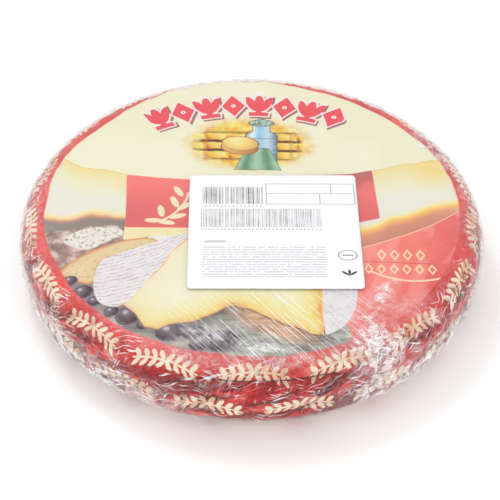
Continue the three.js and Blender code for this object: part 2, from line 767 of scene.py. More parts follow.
@dataclass(frozen=True)
class Picture:
    """The painted areas of the printed disc, in millimetres on the flat sheet.

    The disc is all cream; low on it lies a still life of cut cheeses, bread and grapes. A skew is
    how far the disc's edge stands out, the angle it does so at and the reach of that, in degrees.
    """

    radius: float = 122.3
    skews: tuple[tuple[float, float, float], ...] = (
        (11.0, 101.0, 17.0), (-2.5, 58.0, 22.0), (-2.0, 140.0, 14.0),
    )
    skyline: Outline = (
        (-125, 46), (-117, 43.5), (-111, 40), (-106, 35), (-98, 33), (-88, 32), (-76, 28),
        (-58, 25.5), (-38, 24), (0, 25.5), (34, 30), (60, 32), (72, 35.5), (80, 37.5),
        (92, 42.5), (100, 43.2), (109, 46.5), (125, 52),
    )
    left_block_foot: Outline = (
        (-125, -11), (-112, -16), (-105, -14), (-98, -10.5), (-93, -9.5), (-85, -11), (-70, -12),
    )
    right_block_foot: Outline = (
        (40, -24), (63, -19.5), (75, -15.5), (80, -9.5), (90, -7), (100, -1), (110, 3.5), (124, 7),
    )
    field_edge: Outline = (
        (40, -43), (63, -34.5), (72, -31), (80, -27.2), (90, -22.5), (100, -17), (110, -10.5),
        (120, -2.5), (125, 3),
    )
    band: Outline = (
        (-76, 27.8), (-58, 25.6), (-38, 24.2), (0, 25.5), (34, 30), (60, 32), (72.2, 35.6),
        (73.6, 14), (75, -8.5), (62, -12.7), (30, -17), (0, -19), (-38, -19.6), (-73.6, -20),
        (-74.6, 4),
    )
    loaf: Outline = (
        (-122, -25), (-104, -23), (-88, -18), (-73, -19), (-72, -29), (-80, -34), (-101, -48),
        (-107, -60), (-116, -52), (-124, -34),
    )
    flour: Outline = (
        (-109, -31), (-104, -25.5), (-96, -21.5), (-86, -19.5), (-75, -20.5), (-74, -27),
        (-81, -31), (-89, -37.5), (-95, -40.5), (-103, -38), (-108, -35),
    )
    slice_of_bread: Outline = (
        (-109, -60), (-102, -50), (-91, -40.5), (-78, -33), (-66, -29), (-55, -29), (-52, -36),
        (-70, -42), (-85, -48), (-87, -58), (-88, -69), (-97, -67), (-104, -63),
    )
    strip: Outline = ((-74, -19), (-36, -19), (-36, -27), (-58, -27), (-66, -30), (-74, -31))
    rind: Outline = (
        (-34, -25), (-42, -25), (-49, -28), (-54, -32), (-60, -34.5), (-72, -41), (-84, -46.5),
        (-87, -53), (-88.5, -66), (-86, -80), (-80, -86), (-71, -86), (-63, -74), (-58, -63),
        (-50, -52), (-46, -40),
    )
    paste: Outline = (
        (-34, -25), (-40, -33), (-46.5, -41), (-50, -51), (-53.5, -57), (-59.5, -64), (-63, -73),
        (-71, -84), (-63, -92), (-58, -101.5), (-50, -103.5), (-44, -99.5), (-30, -96.5),
        (-20, -90.5), (-10, -83), (0, -87), (10, -93), (20, -98.5), (27, -101), (33, -105),
        (39.5, -106), (39.5, -60), (39.5, -25),
    )
    rind_block: Outline = (
        (39.5, -25), (39.5, -106), (45, -103.5), (51, -98.5), (55.5, -91), (58.5, -82),
        (59.6, -70), (60, -25),
    )
    board: Outline = (
        (-70, -92), (-44, -96), (-30, -92), (-10, -80), (20, -95), (39, -103), (53, -95),
        (55, -107), (50, -115), (34, -124), (12, -129), (-6, -129), (-24, -127), (-48, -121),
        (-70, -110), (-84, -98), (-80, -90),
    )

    def areas(self, x: Array, y: Array) -> dict[str, Array]:
        """Every area's signed distance, negative inside, or height over its line.

        Args:
            x: Places across the sheet.
            y: Places up the sheet.

        Returns:
            The distances by the area's name.
        """
        flat = np.stack([x, y, np.zeros_like(x)], axis=1)
        wander = 1.1 * lattice_noise(flat, 26.0, 5) + 0.5 * lattice_noise(flat, 9.0, 6)
        rough = 0.7 * lattice_noise(flat, 5.0, 7)
        turn = np.degrees(np.arctan2(y, x))
        skewed = sum(height * bump(turn, middle, reach) for height, middle, reach in self.skews)
        return {
            "disc": np.hypot(x, y) - self.radius - wander - skewed,
            "skyline": y - curve_height(x, self.skyline),
            "left_foot": y - curve_height(x, self.left_block_foot) - rough,
            "right_foot": y - curve_height(x, self.right_block_foot) - 0.5 * rough,
            "field": y - curve_height(x, self.field_edge),
            "band": to_polygon(x, y, self.band),
            "loaf": to_polygon(x, y, rounded(self.loaf)) + rough,
            "flour": to_polygon(x, y, rounded(self.flour)) + rough,
            "slice": to_polygon(x, y, rounded(self.slice_of_bread)) + 0.3 * rough,
            "strip": to_polygon(x, y, self.strip),
            "rind": to_polygon(x, y, rounded(self.rind, 1)) + 0.2 * rough,
            "paste": to_polygon(x, y, self.paste) + 0.2 * rough,
            "rind_block": to_polygon(x, y, rounded(self.rind_block, 1)),
            "board": to_polygon(x, y, rounded(self.board, 1)) + 0.4 * rough,
        }


@dataclass(frozen=True)
class PrintedBorder:
    """The wrapper's red border, which goes on down the side, with rows of cream garlands."""

    garlands: int = 17
    garland_turn: float = 0.7
    first_row: float = 122.0
    row_pitch: float = 22.0
    garland_span: float = 48.0
    garland_half: float = 18.4
    sag: float = 4.0
    sag_reach: float = 19.0
    leaf_pitch: float = 4.6
    leaf: Point = (2.9, 1.25)
    leaf_lean: float = 52.0
    stem_half: float = 0.55
    # The dark red painted as shade along the side's creases.
    crack_shade_ink: Colour = ink(104, 0, 6)

    def paint(self, bench: Bench, place: Socket, side: Signal) -> Socket:
        """The red ground with its rows of cream garlands, each row half a step round the last.

        Past the shoulder it is crumpled, and each crumple of it gets its own depth of red, from painted
        shade to painted highlight; the garlands' cream is shaded the same way.

        Args:
            bench: The bench that the nodes go to.
            place: The place on the flat sheet.
            side: 0 on the top and 1 from the shoulder on.

        Returns:
            The border's colour.
        """
        x, y = bench.split(place)
        reach = bench.reach(place)
        blotch = bench.noise(place, 26.0, 3.0)
        shoulder = bench.ramp(blotch, [(0.35, seen(208, 80, 80)), (0.65, seen(240, 92, 86))])
        around = bench.stretched(bench.unrolled(place, GIRTH), 160.0, 3.2)
        # Painted light per crumple: a random level for each flat cell, from shade to highlight.
        facet_light = bench.cells(around, 6.5) * 0.65 + bench.cells(around, 3.2) * 0.35
        facet_light = facet_light + (bench.noise(place, 12.0, 3.0) - 0.5) * 0.5
        # Painted shade and highlight: the side's red runs from near black in shade to pale pink where a
        # crumple catches the light.
        deep = bench.ramp(
            facet_light,
            [(0.1, ink(88, 0, 3)), (0.35, ink(160, 3, 10)), (0.62, ink(204, 22, 20)),
             (0.82, ink(222, 62, 54)), (0.97, ink(230, 136, 128))],
        )
        # Painted shade: dark crease lines over the side's red.
        deep = bench.mix(self._painted_crack_shade(bench, place) * 0.85, deep, self.crack_shade_ink)
        red = bench.mix(bench.spread(reach + blotch * 16.0, 137.0, 149.0), shoulder, deep)
        rows = (reach - self.first_row) / self.row_pitch
        down = (rows.fraction() - 0.5) * self.row_pitch
        turn = bench.math("ARCTAN2", y, x) * (self.garlands / (2 * math.pi))
        turn = turn + rows.whole() * 0.5 + self.garland_turn
        along = (turn.fraction() - 0.5) * self.garland_span
        sag = (along / self.sag_reach) ** 2.0 * self.sag
        jolt = (facet_light - 0.5) * side * 1.6
        distance = self._garland(bench, abs(along), abs(sag - self.sag / 2 - down + jolt))
        # Painted shade and highlight on the garlands' cream, by the same crumples.
        cream = bench.mix(bench.spread(facet_light, 0.1, 0.5), ink(226, 184, 138), ink(246, 236, 206))
        return bench.mix(bench.inside(distance, soft=0.15), red, cream)

    def _painted_crack_shade(self, bench: Bench, place: Socket) -> Signal:
        """Painted crease shade on the side: dark lines, long ones that rise to the right, and upright
        ones.

        Args:
            bench: The bench that the nodes go to.
            place: The place on the flat sheet.

        Returns:
            How dark the painted crease shade is, from 0 to 1.
        """
        around = bench.unrolled(place, GIRTH)
        rising = bench.streaks(around, 160.0, 2.6, 9.0, 0.61)
        upright = bench.streaks(bench.shifted(around, (40.0, 9.0, 0.0)), 112.0, 2.2, 7.0, 0.63)
        return bench.math("MAXIMUM", rising, upright)

    def _garland(self, bench: Bench, along: Signal, up: Signal) -> Signal:
        """A stem with slanted leaves over and under it, mirrored about its middle.

        Args:
            bench: The bench that the nodes go to.
            along: How far the place is from the middle, along the stem.
            up: How far it is from the stem.

        Returns:
            The distance to the garland, negative inside.
        """
        cell = ((along / self.leaf_pitch).fraction() - 0.5) * self.leaf_pitch
        leaf = bench.ellipse(bench.join(cell, up), (0.0, 2.5), self.leaf, self.leaf_lean)
        return bench.both(bench.nearest([leaf, up - self.stem_half]), along - self.garland_half)


@dataclass(frozen=True)
class StillLife:
    """The painting low on the disc: cut cheeses, bread, grapes, a board, a band and a red field."""

    def paint(self, bench: Bench, place: Socket, cream: Socket) -> Socket:
        """The two big cut cheeses and the red field, then what stands before them.

        Args:
            bench: The bench that the nodes go to.
            place: The place on the flat sheet.
            cream: The disc's ground.

        Returns:
            The colour of the disc with its still life.
        """
        x, y = bench.split(place)
        paint = bench.noise(place, 14.0, 3.0)
        skyline = bench.value("skyline")
        block = bench.ramp(
            bench.spread(-skyline + (paint - 0.5) * 10.0, 0.0, 30.0),
            [(0.0, seen(246, 226, 158)), (0.25, seen(244, 233, 185)), (0.65, seen(241, 239, 213)),
             (1.0, seen(239, 238, 226))],
        )
        corner = bench.spread(bench.reach(place, (112.0, 40.0, 0.0)), 26.0, 4.0, 0.0, 0.8)
        block = bench.mix(corner, block, seen(248, 222, 130))
        colour = bench.mix(bench.inside(skyline), cream, block)
        line = bench.inside(abs(skyline + 0.4) - 0.35) * 0.4
        colour = bench.mix(line, colour, seen(222, 190, 120))

        foot = bench.value("left_foot")
        left = bench.ramp(
            bench.spread(foot, 6.0, -4.0),
            [(0.0, seen(241, 239, 216)), (0.25, seen(250, 236, 190)), (0.5, seen(252, 214, 158)),
             (0.68, seen(222, 160, 138)), (0.85, seen(172, 146, 136)), (1.0, seen(154, 144, 134))],
        )
        is_left = bench.inside(x + 60.0)
        colour = bench.mix(is_left * bench.inside(foot, 5.5, 0.5), colour, left)

        foot = bench.value("right_foot")
        right = bench.ramp(
            bench.spread(foot, 5.0, -13.0),
            [(0.0, seen(240, 239, 222)), (0.2, seen(250, 236, 170)), (0.3, seen(252, 218, 118)),
             (0.42, seen(251, 188, 124)), (0.62, seen(226, 158, 126)), (1.0, seen(212, 148, 128))],
        )
        is_right = bench.inside(38.0 - x)
        colour = bench.mix(is_right * bench.inside(foot, 4.5, 0.5), colour, right)
        red = bench.ramp(paint, [(0.3, seen(247, 130, 124)), (0.7, seen(254, 146, 133))])
        red = bench.mix(bench.spread(bench.reach(place), 98.0, 123.0, 0.0, 0.85), red, seen(230, 92, 90))
        # Painted highlight: paler pink streaks where fine folds of the foil catch the light.
        facet_light = bench.noise(bench.stretched(place, 70.0, 2.2), 13.0, 5.0)
        red = bench.mix(bench.spread(facet_light, 0.5, 0.6, 0.0, 0.45), red, seen(255, 176, 168))
        field = bench.value("field")
        colour = bench.mix(is_right * bench.inside(field), colour, red)
        colour = bench.mix(is_right * bench.inside(abs(field) - 0.5), colour, seen(253, 203, 162))

        colour = self._bread(bench, place, colour)
        colour = self._board(bench, place, colour)
        colour = self._wedge(bench, place, colour)
        return self._band(bench, place, colour)

    def _bread(self, bench: Bench, place: Socket, colour: Socket) -> Socket:
        """The floured loaf, and a slice before it.

        Args:
            bench: The bench that the nodes go to.
            place: The place on the flat sheet.
            colour: What is painted so far.

        Returns:
            The colour with this painted over it.
        """
        crumb = bench.noise(place, 2.2, 3.0)
        crust = bench.ramp(
            bench.noise(place, 7.0, 3.0),
            [(0.35, seen(140, 116, 108)), (0.5, seen(186, 150, 140)), (0.66, seen(232, 212, 200))],
        )
        colour = bench.mix(bench.inside(bench.value("loaf")), colour, crust)
        flour = bench.ramp(
            crumb,
            [(0.3, seen(168, 120, 110)), (0.44, seen(236, 230, 220)), (0.7, seen(247, 245, 238))],
        )
        colour = bench.mix(bench.inside(bench.value("flour"), soft=0.5), colour, flour)
        tone = bench.spread(bench.noise(place, 5.0), 0.4, 0.6)
        strip = bench.mix(tone, seen(248, 232, 176), seen(246, 236, 196))
        colour = bench.mix(bench.inside(bench.value("strip")), colour, strip)
        cut = bench.value("slice")
        face = bench.mix(bench.spread(cut, -9.0, 0.0), seen(240, 222, 176), seen(234, 206, 158))
        face = bench.mix(bench.spread(crumb, 0.3, 0.42, 0.55, 0.0), face, seen(176, 132, 110))
        colour = bench.mix(bench.inside(cut), colour, face)
        return bench.mix(bench.inside(abs(cut + 0.6) - 0.6) * 0.7, colour, seen(226, 150, 92))

    def _board(self, bench: Bench, place: Socket, colour: Socket) -> Socket:
        """The dark board, brown where it shows its wood, and the grapes that lie on it.

        Args:
            bench: The bench that the nodes go to.
            place: The place on the flat sheet.
            colour: What is painted so far.

        Returns:
            The colour with this painted over it.
        """
        grain = bench.noise(bench.stretched(place, 0.0, 3.0), 4.0, 3.0)
        slate = bench.ramp(grain, [(0.3, seen(118, 118, 110)), (0.7, seen(204, 202, 192))])
        near = bench.spread(bench.value("paste"), 9.0, 1.0, 0.0, 0.7)
        slate = bench.mix(near, slate, seen(92, 90, 80))
        wood = bench.ramp(grain, [(0.3, seen(186, 128, 92)), (0.7, seen(242, 208, 182))])
        warm = bench.ellipse(place, (12.0, -98.0), (26.0, 9.0), -28.0)
        slate = bench.mix(bench.spread(warm, 2.0, -4.0), slate, wood)
        colour = bench.mix(bench.inside(bench.value("board")), colour, slate)
        grapes = [
            (-27, -114, 6.0), (-43, -105, 8.4), (-31, -105, 6.4), (-15, -111.5, 9.4), (-66, -93, 8.2),
            (-76, -90, 4.6), (-93, -75, 6.0), (-86, -82, 4.4), (-101, -66, 4.4), (-58, -100, 4.0),
        ]
        for x, y, size in grapes:
            skin = bench.ramp(
                bench.reach(place, (x - 0.3 * size, y + 0.35 * size, 0.0)) / (1.25 * size),
                [(0.0, seen(222, 216, 222)), (0.22, seen(132, 114, 126)),
                 (0.7, seen(72, 56, 68)), (0.9, seen(96, 78, 88)), (1.0, seen(150, 130, 138))],
            )
            outline = bench.ellipse(place, (x, y), (size, size * 0.94), 20.0)
            colour = bench.mix(bench.inside(outline, soft=0.3), colour, skin)
        return colour

    def _wedge(self, bench: Bench, place: Socket, colour: Socket) -> Socket:
        """The cut cheese: its yellow paste, the ribbed white rind and the block of rind beside it.

        Args:
            bench: The bench that the nodes go to.
            place: The place on the flat sheet.
            colour: What is painted so far.

        Returns:
            The colour with this painted over it.
        """
        x, y = bench.split(place)
        paint = bench.noise(place, 10.0, 3.0)
        paste = bench.value("paste")
        face = bench.ramp(
            bench.spread(paste + (paint - 0.5) * 9.0, -24.0, -0.5),
            [(0.0, seen(248, 244, 220)), (0.45, seen(248, 240, 190)), (0.75, seen(246, 232, 156)),
             (0.93, seen(248, 216, 132)), (1.0, seen(238, 176, 106))],
        )
        pale = bench.spread(y - x * 0.5, -78.0, -40.0, 0.0, 0.75)
        face = bench.mix(pale, face, seen(247, 244, 224))
        colour = bench.mix(bench.inside(paste), colour, face)
        rim = bench.mix(bench.spread(y, -86.0, -82.0), seen(150, 118, 96), seen(250, 196, 104))
        colour = bench.mix(bench.inside(abs(paste + 0.2) - 0.45), colour, rim)

        sweep = y - x * 0.42 - ((x + 68.0) / 9.0) ** 2.0 * 0.5 + paint * 5.0
        rib = abs((sweep / 2.9).fraction() - 0.5)
        broken = bench.spread(bench.noise(place, 3.0), 0.4, 0.56, 0.0, 0.8)
        shade = bench.noise(place, 6.0)
        white = bench.ramp(shade, [(0.35, seen(232, 229, 234)), (0.65, seen(245, 242, 242))])
        white = bench.mix(bench.spread(rib, 0.15, 0.05) * broken, white, seen(190, 138, 116))
        colour = bench.mix(bench.inside(bench.value("rind")), colour, white)

        shade = bench.noise(place, 9.0)
        white = bench.ramp(shade, [(0.35, seen(229, 226, 229)), (0.65, seen(242, 239, 240))])
        speck = bench.spread(bench.noise(place, 2.4), 0.33, 0.42, 0.5, 0.0)
        white = bench.mix(speck, white, seen(200, 180, 176))
        colour = bench.mix(bench.inside(bench.value("rind_block")), colour, white)
        edge = bench.both(abs(x - 39.5) - 0.5, abs(y + 83.0) - 22.0)
        return bench.mix(bench.inside(edge), colour, seen(250, 202, 120))

    def _band(self, bench: Bench, place: Socket, colour: Socket) -> Socket:
        """The red band with its cream sprig, and the small ornaments on the red field.

        Args:
            bench: The bench that the nodes go to.
            place: The place on the flat sheet.
            colour: What is painted so far.

        Returns:
            The colour with this painted over it.
        """
        x, y = bench.split(place)
        tone = y + bench.noise(place, 18.0) * 20.0
        red = bench.mix(bench.spread(tone, 4.0, 30.0), seen(232, 116, 114), seen(250, 134, 130))
        deep = bench.spread(x, 20.0, 60.0) * bench.spread(tone, 25.0, 38.0)
        red = bench.mix(deep, red, seen(204, 116, 112))
        colour = bench.mix(bench.inside(bench.value("band")), colour, red)
        stem = abs(bench.ellipse(place, (-71.0, 14.0), (33.0, 33.0))) - 0.75
        stem = bench.both(stem, bench.bar(place, (-47.0, 0.0), (12.0, 15.0), -25.0))
        leaves = [
            (-57.5, -13.5, 0.0), (-50.0, -15.0, -10.0), (-53.5, -5.0, 100.0), (-43.5, -9.5, 20.0),
            (-46.0, 3.5, 112.0), (-40.0, -0.5, 40.0), (-44.0, 13.0, 118.0),
        ]
        sprig = [bench.ellipse(place, (lx, ly), (5.2, 2.0), turn) for lx, ly, turn in leaves]
        sprig = bench.inside(bench.nearest([stem, *sprig]))
        colour = bench.mix(sprig, colour, seen(247, 238, 200))

        upper = self._lozenges(bench, place, (85.5, -40.0), 4, 7.4, (2.9, 5.0))
        lower = self._lozenges(bench, place, (84.5, -52.0), 6, 7.2, (2.8, 4.6))
        swash = abs(y + 61.5 - ((x - 92.0) / 20.0) ** 2.0 * 5.0) - 0.75
        swash = bench.both(swash, abs(x - 87.0) - 20.0)
        ornaments = bench.inside(bench.nearest([upper, lower, swash]))
        colour = bench.mix(ornaments, colour, seen(252, 228, 186))
        # Painted shade: a thin dark line where the foil is folded across the red field.
        fold = bench.both(abs(y + 46.6 + (x - 84.0) * 0.03) - 0.22, abs(x - 84.0) - 21.0)
        return bench.mix(bench.inside(fold) * 0.8, colour, seen(176, 74, 76))

    def _lozenges(
        self, bench: Bench, place: Socket, middle: Point, count: int, pitch: float, half: Point
    ) -> Signal:
        """A row of hollow diamonds, the distance to each being |x| / width + |y| / height - 1.

        Args:
            bench: The bench that the nodes go to.
            place: The place on the flat sheet.
            middle: The row's middle.
            count: How many diamonds it has.
            pitch: How far apart they stand.
            half: Half the width and half the height of each.

        Returns:
            The distance to the row, negative inside.
        """
        x, y = bench.split(bench.shifted(place, (*middle, 0.0)))
        cell = ((x / pitch + count / 2).fraction() - 0.5) * pitch
        distance = (abs(cell) / half[0] + abs(y) / half[1] - 1.0) * half[0]
        return bench.both(abs(distance + 0.7) - 0.6, abs(x) - pitch * count / 2)


@dataclass(frozen=True)
class RipeningRoom:
    """The small oval painting of a ripening room."""

    shelf_pitch: float = 9.0
    cheese_pitch: float = 14.0
    outline: Colour = seen(112, 112, 124)

    def paint(self, bench: Bench, place: Socket, colour: Socket) -> Socket:
        """A ripening room in warm light: shelves of cheeses, a milk churn, a cheese and a cloth.

        Args:
            bench: The bench that the nodes go to.
            place: The place on the flat sheet.
            colour: What is painted so far.

        Returns:
            The colour with this painted over it.
        """
        x, y = bench.split(place)
        paint = bench.noise(place, 5.0, 3.0)
        glow = bench.ellipse(place, (-2.0, 59.5), (39.0, 26.0)) + (paint - 0.5) * 9.0
        warm = bench.ramp(
            bench.noise(place, 8.0, 3.0),
            [(0.32, seen(232, 160, 70)), (0.48, seen(246, 208, 92)), (0.66, seen(250, 236, 130))],
        )
        colour = bench.mix(bench.spread(glow, 2.5, -6.0), colour, warm)
        sway = (paint - 0.5) * 2.0
        up = (((y - 44.0) / self.shelf_pitch).fraction() - 0.5) * self.shelf_pitch + sway
        across = (((x + 2.0) / self.cheese_pitch).fraction() - 0.5) * self.cheese_pitch
        room = bench.inside(bench.bar(place, (-4.0, 57.5), (34.0, 13.5)), soft=1.5)
        room = room * bench.spread(glow, -1.0, -6.0)
        cheese = bench.bar(bench.join(across, up), (0.0, -0.6), (5.9, 2.7))
        golden = bench.ramp(
            bench.spread(across + up, -7.0, 6.0),
            [(0.0, seen(206, 116, 56)), (0.25, seen(246, 196, 74)), (1.0, seen(250, 238, 150))],
        )
        colour = bench.mix(bench.inside(cheese, soft=0.4) * room, colour, golden)
        plank = bench.inside(3.3 - abs(up), soft=0.35)
        colour = bench.mix(plank * room, colour, seen(104, 66, 52))
        for post in (-29.5, 23.5):
            shape = bench.inside(bench.bar(place, (post, 58.0), (1.1, 12.0)), soft=0.6)
            colour = bench.mix(shape * 0.4, colour, seen(200, 116, 64))
        colour = self._churn(bench, place, colour)
        colour = self._cloth(bench, place, colour)
        return self._leant_cheese(bench, place, colour)

    def _churn(self, bench: Bench, place: Socket, colour: Socket) -> Socket:
        """The milk churn: a tin can with a neck, hoops and a green lid.

        Args:
            bench: The bench that the nodes go to.
            place: The place on the flat sheet.
            colour: What is painted so far.

        Returns:
            The colour with this painted over it.
        """
        x, y = bench.split(place)
        body = bench.nearest(
            [
                bench.bar(place, (5.0, 54.0), (9.5, 13.0)),
                bench.ellipse(place, (5.0, 66.5), (9.6, 6.0)),
                bench.bar(place, (5.0, 73.0), (5.2, 5.0)),
            ]
        )
        tin = bench.ramp(
            bench.spread(x + (bench.noise(place, 3.0) - 0.5) * 5.0, -5.0, 15.0),
            [(0.0, seen(130, 156, 178)), (0.22, seen(236, 244, 250)), (0.42, seen(156, 206, 232)),
             (0.7, seen(206, 226, 238)), (1.0, seen(112, 132, 152))],
        )
        colour = bench.mix(bench.inside(body, 0.5), colour, self.outline)
        colour = bench.mix(bench.inside(body), colour, tin)
        hoop = bench.both(body, abs(abs(y - 57.0) - 8.0) - 0.4)
        colour = bench.mix(bench.inside(hoop) * 0.6, colour, self.outline)
        lid = bench.ellipse(place, (5.0, 80.5), (7.4, 3.2))
        lid = bench.nearest([lid, bench.bar(place, (5.0, 84.0), (2.0, 1.3))])
        green = bench.ramp(
            bench.noise(place, 2.6),
            [(0.35, seen(112, 148, 128)), (0.5, seen(160, 186, 168)), (0.65, seen(206, 222, 208))],
        )
        colour = bench.mix(bench.inside(lid, 0.4), colour, self.outline)
        return bench.mix(bench.inside(lid), colour, green)

    def _cloth(self, bench: Bench, place: Socket, colour: Socket) -> Socket:
        """The green cloth at the churn's foot, widening to its hem, with soft upright folds.

        Args:
            bench: The bench that the nodes go to.
            place: The place on the flat sheet.
            colour: What is painted so far.

        Returns:
            The colour with this painted over it.
        """
        x, y = bench.split(place)
        sway = (bench.noise(place, 6.0) - 0.5) * 5.0
        green = bench.ramp(
            bench.math("SINE", (x + sway * 0.6) * 0.62 + (x - 3.0) * (y - 50.0) * 0.012) * 0.5 + 0.5,
            [(0.0, seen(112, 156, 126)), (0.5, seen(150, 190, 158)), (1.0, seen(176, 208, 178))],
        )
        hem = 34.5 + sway * 0.4 - y
        width = (55.0 - y) * 0.36 + 6.5
        cloth = bench.both(bench.both(abs(x - 3.0) - width, hem), y - 55.0)
        colour = bench.mix(bench.inside(cloth, 0.4), colour, self.outline)
        return bench.mix(bench.inside(cloth), colour, green)

    def _leant_cheese(self, bench: Bench, place: Socket, colour: Socket) -> Socket:
        """The whole cheese that leans on the churn: its crust, then its face.

        Args:
            bench: The bench that the nodes go to.
            place: The place on the flat sheet.
            colour: What is painted so far.

        Returns:
            The colour with this painted over it.
        """
        x, _ = bench.split(place)
        wheel = bench.ellipse(place, (-8.0, 60.0), (11.0, 6.4), -8.0)
        crust = bench.nearest(
            [
                bench.ellipse(place, (-8.4, 55.6), (11.0, 6.4), -8.0),
                bench.bar(place, (-8.2, 57.8), (10.9, 2.2), -8.0),
            ]
        )
        face = bench.ramp(
            bench.reach(place, (-10.0, 63.0, 0.0)) / 15.0 + (bench.noise(place, 4.0) - 0.5) * 0.3,
            [(0.0, seen(250, 240, 176)), (0.5, seen(246, 216, 128)), (1.0, seen(222, 172, 104))],
        )
        brown = seen(156, 98, 66)
        colour = bench.mix(bench.inside(bench.nearest([crust, wheel]), 0.5), colour, brown)
        dark = bench.mix(bench.spread(x, -19.0, 2.0), seen(236, 192, 116), seen(190, 128, 80))
        colour = bench.mix(bench.inside(crust), colour, dark)
        return bench.mix(bench.inside(wheel, soft=0.3), colour, face)


@dataclass(frozen=True)
class MotifArch:
    """The arched row of red ornaments over the ripening room."""

    middle: float = -27.0
    radius: float = 125.5
    shift: float = 4.9
    pitch: float = 16.3
    count: int = 8

    def paint(self, bench: Bench, place: Socket, colour: Socket) -> Socket:
        """A row of red tulips and diamonds bent to an arch, with a white rim and a brown shadow.

        Args:
            bench: The bench that the nodes go to.
            place: The place on the flat sheet.
            colour: What is painted so far.

        Returns:
            The colour with this painted over it.
        """
        middle = bench.shifted(place, (0.0, self.middle, 0.0))
        x, y = bench.split(middle)
        along = bench.math("ARCTAN2", x, y) * self.radius + self.shift
        up = bench.reach(middle) - self.radius
        shadow = self._motifs(bench, along - 1.5, up + 1.7)
        shape = self._motifs(bench, along, up)
        colour = bench.mix(bench.inside(shadow, 0.9), colour, seen(170, 118, 112))
        colour = bench.mix(bench.inside(shape, 1.1), colour, seen(252, 240, 240))
        return bench.mix(bench.inside(shape), colour, seen(240, 92, 100))

    def _motifs(self, bench: Bench, along: Signal, up: Signal) -> Signal:
        """The distance to the row's motifs: tulips in the even cells and diamonds in the odd.

        Args:
            bench: The bench that the nodes go to.
            along: How far the place is along the row, from the row's middle.
            up: How far it is over the row's middle line.

        Returns:
            The distance, negative inside.
        """
        half = self.pitch * self.count / 2
        turn = (along + half) / self.pitch
        wide = abs(turn.fraction() - 0.5) * self.pitch
        mirrored = bench.join(wide, up)
        tulip = bench.nearest(
            [
                bench.ellipse(mirrored, (0.0, 2.5), (3.0, 8.1)),
                bench.ellipse(mirrored, (4.8, 1.9), (2.8, 7.8), -22.0),
                bench.bar(mirrored, (0.0, -5.4), (2.0, 4.0)),
                bench.bar(mirrored, (0.0, -8.7), (6.6, 1.9)),
            ]
        )
        diamond = (wide / 7.4 + abs(up) / 10.8 - 1.0) * 5.9
        diamond = bench.both(diamond, 1.6 - bench.reach(mirrored))
        odd = (turn.whole() * 0.5).fraction() * 2.0
        either = tulip + odd * (diamond - tulip)
        return bench.both(either, abs(along) - half + 1.5)


@dataclass(frozen=True)
class PrintedFoil:
    """The wrapper's finish: a red sheet with cream garlands, and the picture on its disc."""

    roughness: float = 0.34
    rim_ink: Colour = seen(250, 226, 190)
    hollow_shade_ink: Colour = ink(112, 0, 6)
    fold_line_shade_ink: Colour = ink(72, 0, 8)
    bare_inside: Colour = (0.55, 0.55, 0.56)
    border: PrintedBorder = PrintedBorder()
    still_life: StillLife = StillLife()
    room: RipeningRoom = RipeningRoom()
    arch: MotifArch = MotifArch()

    def material(self) -> bpy.types.Material:
        """The whole finish, ink over ink, with painted shade in the hollows and a painted dark line
        along the front fold.

        Returns:
            The material.
        """
        bench = Bench("printed_foil")
        place = bench.flat(SHEET_MAP)
        disc = self.still_life.paint(bench, place, self._cream(bench, place))
        disc = self.arch.paint(bench, place, self.room.paint(bench, place, disc))
        edge = bench.value("disc")
        _, y = bench.split(place)
        side = bench.value("side")
        rim = bench.inside(edge, 0.7) * bench.spread(y, 5.0, 30.0)
        colour = bench.mix(rim, self.border.paint(bench, place, side), self.rim_ink)
        colour = bench.mix(bench.inside(edge, soft=0.4), colour, disc)
        # Painted shade: darker red in the foil's hollows and just below the front fold.
        colour = bench.mix(bench.value("hollow") * 0.75, colour, self.hollow_shade_ink)
        # Painted shade: a sharp dark line along the front fold.
        sharp = bench.inside(abs(bench.value("crease")) - 0.4, soft=0.25) * bench.value("fold_shade_strength")
        colour = bench.mix(sharp * 0.9, colour, self.fold_line_shade_ink)
        colour = bench.mix(bench.value("inner_wall"), colour, self.bare_inside)
        fine = bench.noise(bench.solid(), 3.0, 3.0, 1.2)
        crease = abs(fine - 0.5) * bench.spread(side, 0.0, 1.0, 0.12, 1.0)
        bend = bench.node("Bump", {"Height": crease, "Strength": 0.55, "Distance": 0.0012})
        values = {
            "Base Color": colour,
            "Roughness": self.roughness,
            "Normal": bend.outputs[0],
            "Specular IOR Level": 0.15,
        }
        return bench.finish(bench.node("BsdfPrincipled", values).outputs[0])

    def _cream(self, bench: Bench, place: Socket) -> Socket:
        """The disc's ground, a little warmer here and there."""
        blotch = bench.noise(place, 60.0)
        return bench.ramp(blotch, [(0.35, seen(242, 239, 208)), (0.65, seen(246, 243, 220))])


